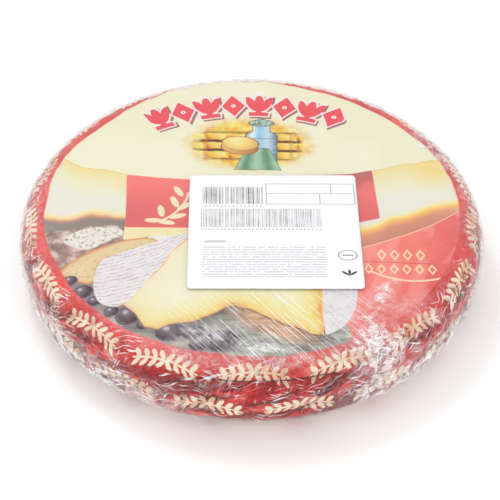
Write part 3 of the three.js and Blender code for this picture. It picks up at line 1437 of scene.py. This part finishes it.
@dataclass(frozen=True)
class ClearFilm:
    """Thin stretched plastic: nearly clear, milky where it is gathered, with a hard gloss; its white
    also carries painted glints, painted glare and a thin painted reflection of the white studio.
    """

    roughness: float = 0.1
    gloss: float = 1.26
    haze: float = FILM_VEIL
    edge_gloss: float = 0.42
    milkiest: float = 0.9

    def material(self) -> bpy.types.Material:
        """The whole finish; the wall inside is wholly clear, so the film is seen once.

        Returns:
            The material.
        """
        bench = Bench("clear_film")
        place = bench.solid()
        flat = bench.flat(SHEET_MAP)
        side = bench.value("side")
        # Painted highlight: thin white streaks along the film's drawn lines.
        lines = bench.streaks(flat, -50.0, 1.0, 26.0, 0.57) * bench.value("tension_glint")
        crinkle = self._crinkle(bench, place)
        glints = self._glints(bench, flat) * side
        cloud = bench.spread(bench.noise(place, 5.0, 6.0, 1.0), 0.46, 0.56)
        veil = bench.value("veil")
        # Milky film, whitened further by painted glare and painted crinkle highlights.
        milk = veil * (cloud * 0.4 + crinkle * 0.9 + 0.18)
        # The top's thin haze is partly the film's own and partly a painted reflection of the white
        # studio.
        body = lines * 0.55 + milk + glints + (1.0 - side) * self.haze
        body = bench.math("MINIMUM", body, self.milkiest)
        fine = bench.noise(place, 4.0, 3.0, 1.5)
        relief = abs(fine - 0.5) * (side * 0.9 + 0.06) + lines * 0.1 + glints * 0.25
        bend = bench.node("Bump", {"Height": relief, "Strength": 0.6, "Distance": 0.0012})
        normal = bend.outputs[0]
        milky = bench.node("BsdfDiffuse", {"Color": (1.0, 1.0, 1.0)})
        clear = bench.node("BsdfTransparent")
        film = bench.node("MixShader", {0: body, 1: clear.outputs[0], 2: milky.outputs[0]})
        shine = {"Color": (1.0, 1.0, 1.0), "Roughness": self.roughness, "Normal": normal}
        gloss = bench.node("BsdfGlossy", shine)
        mirror = bench.node("Fresnel", {"IOR": self.gloss})
        mirror = bench.math("MINIMUM", bench.number(mirror.outputs[0]), self.edge_gloss)
        face = {0: mirror, 1: film.outputs[0], 2: gloss.outputs[0]}
        face = bench.node("MixShader", face)
        whole = {0: bench.value("inner_wall"), 1: face.outputs[0], 2: clear.outputs[0]}
        return bench.finish(bench.node("MixShader", whole).outputs[0])

    def _glints(self, bench: Bench, flat: Socket) -> Signal:
        """White streaks on the side, gathered in patches: rising, falling and upright ones.

        Args:
            bench: The bench that the nodes go to.
            flat: The place on the flat sheet.

        Returns:
            How white the streak is, from 0 up.
        """
        around = bench.unrolled(flat, GIRTH)
        sway = bench.noise(flat, 14.0) * 9.0
        east, out = bench.split(around)
        around = bench.join(east, out + sway)
        rising = bench.streaks(around, 160.0, 0.9, 16.0, 0.60)
        falling = bench.streaks(around, 24.0, 0.9, 14.0, 0.61)
        upright = bench.streaks(around, 112.0, 1.0, 8.0, 0.62)
        first = bench.spread(bench.noise(flat, 20.0, 3.0), 0.45, 0.6)
        second = bench.spread(bench.noise(bench.shifted(flat, (70, 0, 0)), 17.0, 3.0), 0.45, 0.6)
        third = bench.spread(bench.noise(bench.shifted(flat, (0, 70, 0)), 17.0, 3.0), 0.45, 0.6)
        return rising * first * 0.8 + upright * second * 0.6 + falling * third * 0.7

    def _crinkle(self, bench: Bench, place: Socket) -> Signal:
        """Crackled white lines, painted highlights where crinkled film catches the light: where warped
        noise is near its middle, broken up by more noise.

        Args:
            bench: The bench that the nodes go to.
            place: The place in the object.

        Returns:
            How white the line is, from 0 to 1.
        """
        first = abs(bench.noise(place, 7.0, 3.0, 1.6) - 0.5)
        second = abs(bench.noise(bench.shifted(place, (31.0, 7.0, 3.0)), 4.0, 3.0, 1.2) - 0.5)
        broken = bench.spread(bench.noise(place, 5.0), 0.4, 0.6)
        return bench.spread(bench.math("MINIMUM", first, second), 0.022, 0.004) * broken


@dataclass(frozen=True)
class WashedRind:
    """The cheese's rind: tan orange, paler on its ridges, a little moist."""

    roughness: float = 0.55

    def material(self) -> bpy.types.Material:
        """The whole finish.

        Returns:
            The material.
        """
        bench = Bench("washed_rind")
        place = bench.solid()
        blotch = bench.noise(place, 18.0, 4.0, 0.6)
        skin = bench.ramp(
            blotch,
            [(0.3, ink(206, 132, 66)), (0.5, ink(222, 160, 92)), (0.7, ink(236, 196, 138))],
        )
        bloom = bench.spread(bench.noise(place, 3.0, 4.0), 0.5, 0.7, 0.0, 0.5)
        skin = bench.mix(bloom, skin, ink(244, 226, 196))
        bend = bench.node(
            "Bump", {"Height": bench.noise(place, 1.4, 4.0), "Strength": 0.5, "Distance": 0.0008}
        )
        values = {"Base Color": skin, "Roughness": self.roughness, "Normal": bend.outputs[0]}
        return bench.finish(bench.node("BsdfPrincipled", values).outputs[0])


@dataclass(frozen=True)
class LabelPaper:
    """White label paper with bar marks, ruled boxes and grey lines where the words would be."""

    roughness: float = 0.45
    bar_pitch: float = 0.92
    line_pitch: float = 2.05
    oval: Point = (41.5, -21.9)
    leaf_foot: Point = (41.7, -36.2)
    rule_half: float = 0.22

    def material(self) -> bpy.types.Material:
        """The whole finish.

        Returns:
            The material.
        """
        bench = Bench("label_paper")
        place = bench.flat(SHEET_MAP)
        black, grey = ink(70, 70, 74), ink(150, 150, 156)
        faded = bench.spread(bench.noise(place, 9.0, 3.0), 0.35, 0.65, 0.5, 1.0)
        _, y = bench.split(place)
        faded = faded * bench.spread(y, 18.0, 20.0, 0.7, 1.0)
        colour = bench.mix(self._lines(bench, place) * 0.45, ink(246, 246, 248), grey)
        colour = bench.mix(self._rules(bench, place), colour, grey)
        colour = bench.mix(self._bars(bench, place) * faded, colour, black)
        colour = bench.mix(self._signs(bench, place), colour, black)
        values = {"Base Color": colour, "Roughness": self.roughness, "Specular IOR Level": 0.3}
        return bench.finish(bench.node("BsdfPrincipled", values).outputs[0])

    def _bars(self, bench: Bench, place: Socket) -> Signal:
        """Two fields of upright bars of uneven widths.

        Args:
            bench: The bench that the nodes go to.
            place: The place on the label.

        Returns:
            1 on the bars and 0 beside them.
        """
        x, _ = bench.split(place)
        uneven = x + (bench.noise(bench.join(x, 0.0), 1.3, 1.0) - 0.5) * 1.9
        share = bench.noise(bench.join(x, 9.0), 2.2, 0.0) * 0.5 + 0.22
        stripe = bench.inside((uneven / self.bar_pitch).fraction() - share, soft=0.08)
        small = bench.bar(place, (-24.1, 30.5), (18.0, 7.8))
        large = bench.bar(place, (-7.3, 10.1), (35.2, 8.1))
        return bench.inside(bench.nearest([small, large]), soft=0.05) * stripe

    def _signs(self, bench: Bench, place: Socket) -> Signal:
        """A small oval and a small sprig.

        Args:
            bench: The bench that the nodes go to.
            place: The place on the label.

        Returns:
            1 on the signs and 0 beside them.
        """
        oval = abs(bench.ellipse(place, self.oval, (5.3, 4.1))) - 0.2
        shapes = [oval, bench.bar(place, self.oval, (3.0, 0.35))]
        x, y = self.leaf_foot
        shapes.append(bench.bar(place, (x, y - 1.8), (0.3, 1.8)))
        for lean in (-1.0, 0.0, 1.0):
            middle = (x + lean * 2.4, y - abs(lean) * 0.6)
            shapes.append(bench.ellipse(place, middle, (0.8, 2.4), -lean * 50.0))
        return bench.inside(bench.nearest(shapes), soft=0.1)

    def _rules(self, bench: Bench, place: Socket) -> Signal:
        """The thin lines of the ruled boxes.

        Args:
            bench: The bench that the nodes go to.
            place: The place on the label.

        Returns:
            1 on the lines and 0 beside them.
        """
        level = [bench.bar(place, (22.0, y), (26.3, self.rule_half)) for y in (41.1, 32.1, 22.6)]
        posts = ((34.3, 36.6, 4.5), (27.6, 27.3, 4.7), (-4.2, 31.8, 9.2), (48.2, 31.8, 9.2))
        upright = [bench.bar(place, (x, y), (self.rule_half, half)) for x, y, half in posts]
        return bench.inside(bench.nearest([*level, *upright]), soft=0.1)

    def _lines(self, bench: Bench, place: Socket) -> Signal:
        """Rows of thin grey dashes, broken where soft noise along the row is low.

        Args:
            bench: The bench that the nodes go to.
            place: The place on the label.

        Returns:
            From 0 beside the dashes to 1 on them.
        """
        x, y = bench.split(place)
        rows = y / self.line_pitch
        cell = bench.join(x * 0.6, rows.whole() * 7.3)
        word = bench.spread(bench.noise(cell, 1.0, 1.0), 0.38, 0.42)
        dash = bench.inside(abs(rows.fraction() - 0.5) - 0.22, soft=0.1)
        block = bench.inside(bench.bar(place, (-6.2, -27.0), (35.2, 13.4)))
        below_small = bench.bar(place, (-24.1, 20.8), (18.0, 0.8))
        below_large = bench.bar(place, (-7.3, 0.2), (35.2, 0.7))
        ticks = bench.inside(bench.nearest([below_small, below_large]))
        ticks = ticks * bench.spread((x / 2.3).fraction(), 0.4, 0.46)
        heading = bench.inside(bench.bar(place, (-34.2, -10.4), (6.2, 1.0)))
        return bench.math("MINIMUM", word * dash * block + ticks + heading, 1.0)


# ---------------------------------------------------------------------------------------------
# The pieces
# ---------------------------------------------------------------------------------------------


class Part(Enum):
    """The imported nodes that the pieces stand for."""

    CHEESE = "cheese_wheel"
    FOIL = "foil_wrapper"
    FILM = "stretch_film"
    LABEL = "stock_label"


def settle(piece: bpy.types.Object, part: Part, finish: bpy.types.Material) -> None:
    """Gives a piece its finish, and ties it to the node that it stands for.

    Args:
        piece: The piece.
        part: The node.
        finish: The material.
    """
    piece.data.materials.append(finish)
    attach(piece, "root")
    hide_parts(part.value)


@dataclass(frozen=True)
class Creases:
    """How the foil and the film over it swell and fold, as heights in millimetres."""

    front: float = -88.0
    ledge_reach: float = 26.0
    ledge: float = 1.7
    fold: float = 2.4
    slope: float = 0.36
    taut: float = 119.0
    crumpled: float = 132.0
    ledge_s: float = 130.0
    ledge_width: float = 12.0
    fold_s: float = 136.0
    fold_drop: float = 14.0
    fold_above: float = 1.4
    fold_below: float = 3.5

    def side(self, s: Array) -> Array:
        """0 on the taut top and 1 from the shoulder on."""
        return smooth_step(s, self.taut, self.crumpled)

    def swell(self, s: Array, theta: Array) -> Array:
        """The ledge that the sheets stand out in, at the front of the shoulder."""
        round_it = bump(turn_between(theta, self.front), 0.0, self.ledge_reach)
        return self.ledge * round_it * bump(s, self.ledge_s, self.ledge_width)

    def fold_line(self, theta: Array) -> tuple[Array, Array]:
        """The sharp fold under the ledge.

        Args:
            theta: The angle about the axis.

        Returns:
            The s of the fold, and how strong it is, at each angle.
        """
        turn = np.abs(turn_between(theta, self.front + 2.0))
        line = self.fold_s + self.fold_drop * smooth_step(turn, 13.0, 32.0)
        return line, smooth_step(turn, 38.0, 22.0)

    def front_fold(self, s: Array, theta: Array) -> Array:
        """The fold's depth: steep above its line and easy below.

        Args:
            s: The way along the sheet.
            theta: The angle about the axis.

        Returns:
            The depth at each place, as a height below 0.
        """
        line, strength = self.fold_line(theta)
        reach = np.where(s < line, self.fold_above, self.fold_below)
        return -self.fold * strength * bump(s, line, reach)

    def front_bands(self, layer: Layer, width: float, seed: int) -> Array:
        """Long flat folds below the ledge, rising to the right: noise drawn out along the slope.

        Args:
            layer: The places.
            width: How wide a band is.
            seed: Picks the pattern.

        Returns:
            From -1 to 1 within the front, and 0 away from it.
        """
        turn = turn_between(layer.theta, self.front + 4.0)
        around = np.radians(turn) * GIRTH
        line, _ = self.fold_line(layer.theta)
        across = layer.s + self.slope * around
        along = around - self.slope * layer.s
        places = np.stack([across / width, along / (9.0 * width), 0.0 * across], axis=1)
        share = smooth_step(np.abs(turn), 40.0, 24.0) * smooth_step(layer.s, line - 1.0, line + 4.0)
        return 1.6 * lattice_noise(places, 1.0, seed) * share

    def pleats(self, layer: Layer, cell: float, seed: int, along: float = 0.16) -> Array:
        """Ridges that run over the shoulder and down to the underside, from 0 to 1.

        Args:
            layer: The places.
            cell: How far the ridges stand apart.
            seed: Picks the pattern.
            along: How fast the pattern changes on the way down.

        Returns:
            The height of the ridge at each place.
        """
        east, north = GIRTH * np.cos(layer.theta), GIRTH * np.sin(layer.theta)
        places = np.stack([east, north, along * layer.s], axis=1)
        return ridges(places, cell, seed, 2.5)


@dataclass
class CheeseWheel:
    """The cheese itself, one piece: a low round cake with soft edges and a washed rind."""

    form: WheelForm
    finish: WashedRind = field(default_factory=WashedRind)

    def build(self) -> bpy.types.Object:
        """Makes the cheese.

        Returns:
            The piece.
        """
        grid = LayerGrid(self.form, squares=84, side_rows=28, under_rows=10)
        layer = grid.layer(eye=0.0, walled=False)
        places = self.form.points(layer.s, layer.theta, np.zeros(len(layer.s)))
        relief = 0.15 * lattice_noise(places, 14.0, 11) + 0.10 * lattice_noise(places, 4.0, 12)
        places = self.form.points(layer.s, layer.theta, relief - 0.3)
        piece = make_mesh(Part.CHEESE.value, places, layer.quads, layer.triangles)
        settle(piece, Part.CHEESE, self.finish.material())
        return piece


@dataclass
class FoilWrapper:
    """The printed foil folded round the cheese: taut on top, crumpled down the side, pleated below."""

    form: WheelForm
    creases: Creases
    eye: float = 12.0
    level: float = WheelForm.sheet_level
    inside_level: float = 0.3
    lowest: float = 0.45
    highest: float = 4.2
    highest_below: float = 1.75
    picture: Picture = field(default_factory=Picture)
    finish: PrintedFoil = field(default_factory=PrintedFoil)

    def build(self) -> bpy.types.Object:
        """Makes the foil and stores on it its printed areas, and where painted shade goes.

        Returns:
            The piece.
        """
        layer = LayerGrid(self.form).layer(eye=self.eye, walled=True)
        folds = self._folds(layer)
        grow = np.where(layer.inner, self.inside_level, self._outside(layer, folds))
        places = self.form.points(layer.s, layer.theta, grow)
        piece = make_mesh(Part.FOIL.value, places, layer.quads, layer.triangles)
        add_map(piece, SHEET_MAP, layer.x, layer.y)
        for name, distance in self.picture.areas(layer.x, layer.y).items():
            add_values(piece, name, distance)
        line, strength = self.creases.fold_line(layer.theta)
        # Painted shade for the print: dark in the fold hollows and just below the front fold line.
        shade = smooth_step(folds, -0.15, -0.9) + 0.6 * strength * bump(layer.s, line + 1.0, 2.0)
        shade = shade * smooth_step(layer.s, 124.0, 134.0)
        add_values(piece, "hollow", np.clip(shade, 0.0, 1.0))
        # Where the painted fold shade lies: the distance to the fold line, and its strength.
        add_values(piece, "crease", layer.s - line)
        add_values(piece, "fold_shade_strength", strength)
        add_values(piece, "side", self.creases.side(layer.s))
        add_values(piece, "inner_wall", layer.inner)
        settle(piece, Part.FOIL, self.finish.material())
        return piece

    def _folds(self, layer: Layer) -> Array:
        """The crumples, pleats and long front folds.

        Args:
            layer: The places.

        Returns:
            From about -1 in a hollow to 1 on a crest, and 0 on the top.
        """
        creases = self.creases
        flat = self.form.points(layer.s, layer.theta, np.full(len(layer.s), self.level))
        below = smooth_step(layer.s, self.form.bends[2], self.form.bends[3])
        crumple = 0.9 * facets(flat, 9.0, 31, 3) + 0.3 * facets(flat, 4.5, 37, 4)
        pleat = 1.0 * (creases.pleats(layer, 9.0, 41) - 0.5)
        bands = creases.front_bands(layer, 6.0, 45)
        calm = 1.0 - 0.6 * np.minimum(1.0, np.abs(bands) * 4.0)
        folds = creases.side(layer.s) * (calm * (crumple + pleat) + 0.9 * bands)
        return np.clip(folds * (1.0 - 0.6 * below), -0.95, 1.0)

    def _outside(self, layer: Layer, folds: Array) -> Array:
        """The outer wall: level, folds, swell and front fold summed, kept off the cheese.

        Args:
            layer: The places.
            folds: The folds' heights there.

        Returns:
            The wall's height over the cheese at each place.
        """
        flat = self.form.points(layer.s, layer.theta, np.full(len(layer.s), self.level))
        grow = self.level + 0.05 * facets(flat, 24.0, 43) + folds
        grow += self.creases.swell(layer.s, layer.theta)
        grow += self.creases.front_fold(layer.s, layer.theta)
        limit = np.where(layer.s < self.form.bends[3], self.highest, self.highest_below)
        return np.clip(grow, self.lowest, limit)


@dataclass(frozen=True)
class MilkAndGlarePatch:
    """A soft-edged patch of milky film on the side, whitened partly by painted glare."""

    strength: float
    turn: float
    turn_reach: float
    s: float
    s_reach: float

    def weight(self, layer: Layer) -> Array:
        """The patch's strength at each place: a bell round the wheel times one down its side."""
        round_it = bump(turn_between(layer.theta, self.turn), 0.0, self.turn_reach)
        return self.strength * round_it * bump(layer.s, self.s, self.s_reach)


@dataclass(frozen=True)
class FlatMilkAndGlarePatch:
    """A soft-edged patch of milky film and painted glare on the disc, its middle line leaning by lean
    for each up.
    """

    strength: float
    x: float
    x_reach: float
    y: float
    y_reach: float
    lean: float = 0.0

    def weight(self, layer: Layer) -> Array:
        """The patch's strength at each place: a bell across the disc times one up it."""
        across = layer.x - self.lean * (layer.y - self.y)
        return self.strength * bump(across, self.x, self.x_reach) * bump(layer.y, self.y, self.y_reach)


@dataclass
class StretchFilm:
    """The clear film stretched over the foil, drawn into thin folds and gathered underneath."""

    form: WheelForm
    creases: Creases
    eye: float = 8.0
    inside_level: float = 1.8
    top_level: float = 2.3
    clearance: float = 0.7
    ledge_milk_and_glint: float = 0.35
    fold_milk_and_glint: float = 0.35
    side_milk: float = 0.03
    patches: tuple[MilkAndGlarePatch | FlatMilkAndGlarePatch, ...] = (
        MilkAndGlarePatch(1.2, -58.0, 5.5, 133.0, 22.0),
        MilkAndGlarePatch(0.9, -38.0, 22.0, 160.0, 14.0),
        MilkAndGlarePatch(0.9, -144.0, 24.0, 160.0, 15.0),
        MilkAndGlarePatch(0.5, 180.0, 26.0, 150.0, 24.0),
        MilkAndGlarePatch(0.4, 2.0, 24.0, 150.0, 24.0),
        MilkAndGlarePatch(0.9, 27.0, 9.0, 134.0, 16.0),
        MilkAndGlarePatch(0.3, -120.0, 14.0, 162.0, 12.0),
        FlatMilkAndGlarePatch(0.9, 74.0, 5.5, -72.0, 13.0, lean=0.4),
        FlatMilkAndGlarePatch(0.3, 92.0, 18.0, -84.0, 8.0),
        FlatMilkAndGlarePatch(0.45, -24.0, 20.0, -106.0, 9.0),
        FlatMilkAndGlarePatch(0.9, 8.0, 13.0, -117.0, 5.0),
    )
    finish: ClearFilm = field(default_factory=ClearFilm)

    def build(self) -> bpy.types.Object:
        """Makes the film and stores on it where it is milky and painted with glare, and where its drawn
        lines are painted as highlights.

        Returns:
            The piece.
        """
        layer = LayerGrid(self.form).layer(eye=self.eye, walled=True)
        within = self.inside_level + self._room(layer)
        grow = np.where(layer.inner, within, self._outside(layer, within))
        places = self.form.points(layer.s, layer.theta, grow)
        piece = make_mesh(Part.FILM.value, places, layer.quads, layer.triangles)
        add_map(piece, SHEET_MAP, layer.x, layer.y)
        add_values(piece, "side", self.creases.side(layer.s))
        add_values(piece, "inner_wall", layer.inner)
        add_values(piece, "veil", self._veil(layer))
        add_values(piece, "tension_glint", self._tension(layer))
        settle(piece, Part.FILM, self.finish.material())
        return piece

    def _room(self, layer: Layer) -> Array:
        """How far the film stands off to clear the foil's crumples and its ledge.

        Args:
            layer: The places.

        Returns:
            The distance at each place.
        """
        below = smooth_step(layer.s, self.form.bends[2], self.form.bends[3])
        room = self.clearance * self.creases.side(layer.s) * (1.0 - below)
        return room + self.creases.swell(layer.s, layer.theta)

    def _outside(self, layer: Layer, within: Array) -> Array:
        """The outer wall: slanted ridges down the side, low pleats below and a near-flat top.

        Args:
            layer: The places.
            within: The inner wall's height over the cheese there.

        Returns:
            The wall's height over the cheese at each place.
        """
        creases = self.creases
        side = creases.side(layer.s)
        below = smooth_step(layer.s, self.form.bends[2], self.form.bends[3])
        slant = layer.theta + 0.006 * (layer.s - 120.0)
        around = np.stack(
            [GIRTH * np.cos(slant), GIRTH * np.sin(slant), 0.3 * layer.s], axis=1
        )
        wild = ridges(around, 10.0, 51, 3.0) * (0.5 + 0.5 * lattice_noise(around, 25.0, 52))
        upright = creases.pleats(layer, 6.0, 53)
        folds = side * ((1.0 - below) * (0.8 * wild + 0.5 * upright) + below * 0.35 * upright)
        flat = self.form.points(layer.s, layer.theta, np.full(len(layer.s), 2.0))
        top = self.top_level + 0.07 * (facets(flat, 18.0, 54) + 1.0)
        return np.maximum(within + 0.2 + folds, top * (1.0 - side))

    def _veil(self, layer: Layer) -> Array:
        """Where the film is milky and where glare and glints are painted white: its patches, the ledge
        and the long front folds.

        Args:
            layer: The places.

        Returns:
            How milky and how brightly painted the film is, from 0 to 1.
        """
        _, strength = self.creases.fold_line(layer.theta)
        milky = sum(patch.weight(layer) for patch in self.patches)
        # Painted glints with the film's milkiness: white along the ledge above the fold and on the
        # crests of the long front folds.
        milky = milky + self.ledge_milk_and_glint * strength * bump(layer.s, 127.0, 3.5)
        milky = milky + self.fold_milk_and_glint * np.maximum(0.0, self.creases.front_bands(layer, 7.0, 47))
        return np.clip(milky + self.side_milk * self.creases.side(layer.s), 0.0, 1.0)

    def _tension(self, layer: Layer) -> Array:
        """Where the film's fine drawn lines are painted white as highlights: low on the disc, before the
        label.
        """
        low = bump(layer.x, 18.0, 52.0) * smooth_step(layer.y, -66.0, -80.0)
        return low * (1.0 - self.creases.side(layer.s))


@dataclass
class StockLabel:
    """The white paper label stuck on the film: a thin plate with rounded corners."""

    middle: Point
    underside: float
    width: float = 99.5
    length: float = 99.0
    corner: float = 2.5
    turn: float = 1.2
    thickness: float = 0.2
    cells: int = 60
    finish: LabelPaper = field(default_factory=LabelPaper)

    @classmethod
    def from_frame(cls, node: str, under_top: float = 0.47) -> "StockLabel":
        """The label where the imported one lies.

        Args:
            node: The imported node.
            under_top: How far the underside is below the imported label's top.

        Returns:
            The label, ready to build.
        """
        low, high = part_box(node)
        middle = (low + high) / (2 * MM)
        return cls(middle=(middle.x, middle.y), underside=high.z / MM - under_top)

    def build(self) -> bpy.types.Object:
        """Makes the label, with its own flat map for its print.

        Returns:
            The piece.
        """
        n = self.cells
        line = np.linspace(-1.0, 1.0, n + 1)
        a, b = (g.ravel() for g in np.meshgrid(line, line, indexing="ij"))
        x, y = self._rounded(a * self.width / 2, b * self.length / 2)
        angle = math.radians(self.turn)
        across = self.middle[0] + x * math.cos(angle) - y * math.sin(angle)
        up = self.middle[1] + x * math.sin(angle) + y * math.cos(angle)
        ripple = 0.05 * (lattice_noise(np.stack([x, y, 0 * x], axis=1), 16.0, 61) + 1.0)
        low = np.stack([across, up, self.underside + ripple], axis=1)
        high = low + np.array([0.0, 0.0, self.thickness])
        index = np.arange((n + 1) ** 2).reshape(n + 1, n + 1)
        top = np.stack([index[:-1, :-1], index[1:, :-1], index[1:, 1:], index[:-1, 1:]], axis=-1)
        top = top.reshape(-1, 4)
        edge = np.concatenate([index[:-1, 0], index[-1, :-1], index[:0:-1, -1], index[0, :0:-1]])
        after = np.roll(edge, -1)
        count = (n + 1) ** 2
        rim = np.stack([edge + count, after + count, after, edge], axis=1)
        quads = np.concatenate([top, top[:, ::-1] + count, rim])
        places = np.concatenate([high, low])
        piece = make_mesh(Part.LABEL.value, places, quads, np.zeros((0, 3), int))
        add_map(piece, SHEET_MAP, np.tile(x, 2), np.tile(y, 2))
        settle(piece, Part.LABEL, self.finish.material())
        return piece

    def _rounded(self, x: Array, y: Array) -> tuple[Array, Array]:
        """Draws each corner in to an arc: u becomes u * sqrt(1 - v^2 / 2) in the corner's square.

        Args:
            x: Places across the label.
            y: Places up it.

        Returns:
            The same places, drawn in.
        """
        u = np.clip((np.abs(x) - self.width / 2) / self.corner + 1.0, 0.0, 1.0)
        v = np.clip((np.abs(y) - self.length / 2) / self.corner + 1.0, 0.0, 1.0)
        x = x - np.sign(x) * self.corner * u * (1.0 - np.sqrt(1.0 - v * v / 2.0))
        y = y - np.sign(y) * self.corner * v * (1.0 - np.sqrt(1.0 - u * u / 2.0))
        return x, y


# ---------------------------------------------------------------------------------------------
# Studio
# ---------------------------------------------------------------------------------------------


@dataclass(frozen=True)
class SoftBox:
    """A square area light that looks at the wheel."""

    name: str
    place: Place
    size: float
    power: float

    def build(self) -> None:
        """Hangs the light."""
        light = bpy.data.lights.new(self.name, "AREA")
        light.size = self.size
        light.energy = self.power
        lamp = bpy.data.objects.new(self.name, light)
        lamp.location = self.place
        lamp.rotation_euler = (-Vector(self.place)).to_track_quat("-Z", "Y").to_euler()
        bpy.context.scene.collection.objects.link(lamp)


@dataclass(frozen=True)
class ProductCamera:
    """The camera, placed by its angle above the table and how it is aimed and rolled."""

    elevation: float = 41.868
    distance: float = 0.9382
    middle: float = 0.02475
    yaw: float = 0.054
    pitch: float = 0.493
    roll: float = 0.94
    view_angle: float = 18.18

    def build(self) -> None:
        """Makes the camera the scene's own."""
        tilt = math.radians(self.elevation)
        right = Vector((1.0, 0.0, 0.0))
        down = Vector((0.0, -math.sin(tilt), -math.cos(tilt)))
        forward = Vector((0.0, math.cos(tilt), -math.sin(tilt)))
        level = Matrix((right, down, forward))
        aim = (
            Matrix.Rotation(math.radians(self.roll), 3, "Z")
            @ Matrix.Rotation(math.radians(self.pitch), 3, "X")
            @ Matrix.Rotation(math.radians(self.yaw), 3, "Y")
            @ level
        )
        turn = Matrix((aim[0], -aim[1], -aim[2])).transposed()
        data = bpy.data.cameras.new("product_camera")
        data.angle = math.radians(self.view_angle)
        camera = bpy.data.objects.new("product_camera", data)
        place = Vector((0.0, 0.0, self.middle)) - self.distance * forward
        camera.matrix_world = Matrix.Translation(place) @ turn.to_4x4()
        bpy.context.scene.collection.objects.link(camera)
        bpy.context.scene.camera = camera


@dataclass(frozen=True)
class Studio:
    """A plain white table in soft light from all round."""

    table: float = 3.0
    drop: float = 0.0006
    table_white: Colour = (0.98, 0.98, 0.98)
    table_glow: float = 0.07
    sky: float = 0.85
    boxes: tuple[SoftBox, ...] = (
        SoftBox("key_light", (-0.4, 0.5, 1.3), 0.35, 3.4),
        SoftBox("left_light", (-1.1, -0.5, 0.6), 0.12, 1.3),
        SoftBox("right_light", (1.1, -0.5, 0.7), 0.12, 1.3),
        SoftBox("front_light", (0.1, -1.3, 0.6), 0.12, 1.5),
    )

    def build(self) -> None:
        """Lays the table, hangs the lights and sets how the picture is developed."""
        scene = bpy.context.scene
        half = self.table / 2
        corners = np.array([(-half, -half), (half, -half), (half, half), (-half, half)]) / MM
        places = np.column_stack([corners, np.full(4, -self.drop / MM)])
        floor = make_mesh("floor", places, np.array([[0, 1, 2, 3]]), np.zeros((0, 3), int))
        bench = Bench("pale_floor")
        white = {
            "Base Color": self.table_white,
            "Roughness": 0.8,
            "Specular IOR Level": 0.2,
            "Emission Color": (1.0, 1.0, 1.0),
            "Emission Strength": self.table_glow,
        }
        floor.data.materials.append(bench.finish(bench.node("BsdfPrincipled", white).outputs[0]))
        for box in self.boxes:
            box.build()
        world = bpy.data.worlds.new("soft_sky")
        world.use_nodes = True
        sky = world.node_tree.nodes["Background"]
        sky.inputs["Color"].default_value = (1.0, 1.0, 1.0, 1.0)
        sky.inputs["Strength"].default_value = self.sky
        scene.world = world
        scene.view_settings.view_transform = "Standard"
        scene.view_settings.look = "None"


def main() -> None:
    """Builds the wheel from the cheese out, then the studio."""
    logging.basicConfig(level=logging.INFO, format="%(name)s: %(message)s")
    form = WheelForm.from_frame(Part.CHEESE.value)
    creases = Creases()
    builders = (
        CheeseWheel(form),
        FoilWrapper(form, creases),
        StretchFilm(form, creases),
        StockLabel.from_frame(Part.LABEL.value),
    )
    for builder in builders:
        piece = builder.build()
        LOG.info("%s: %d faces", piece.name, len(piece.data.polygons))
    Studio().build()
    ProductCamera().build()


if __name__ == "__main__":
    main()
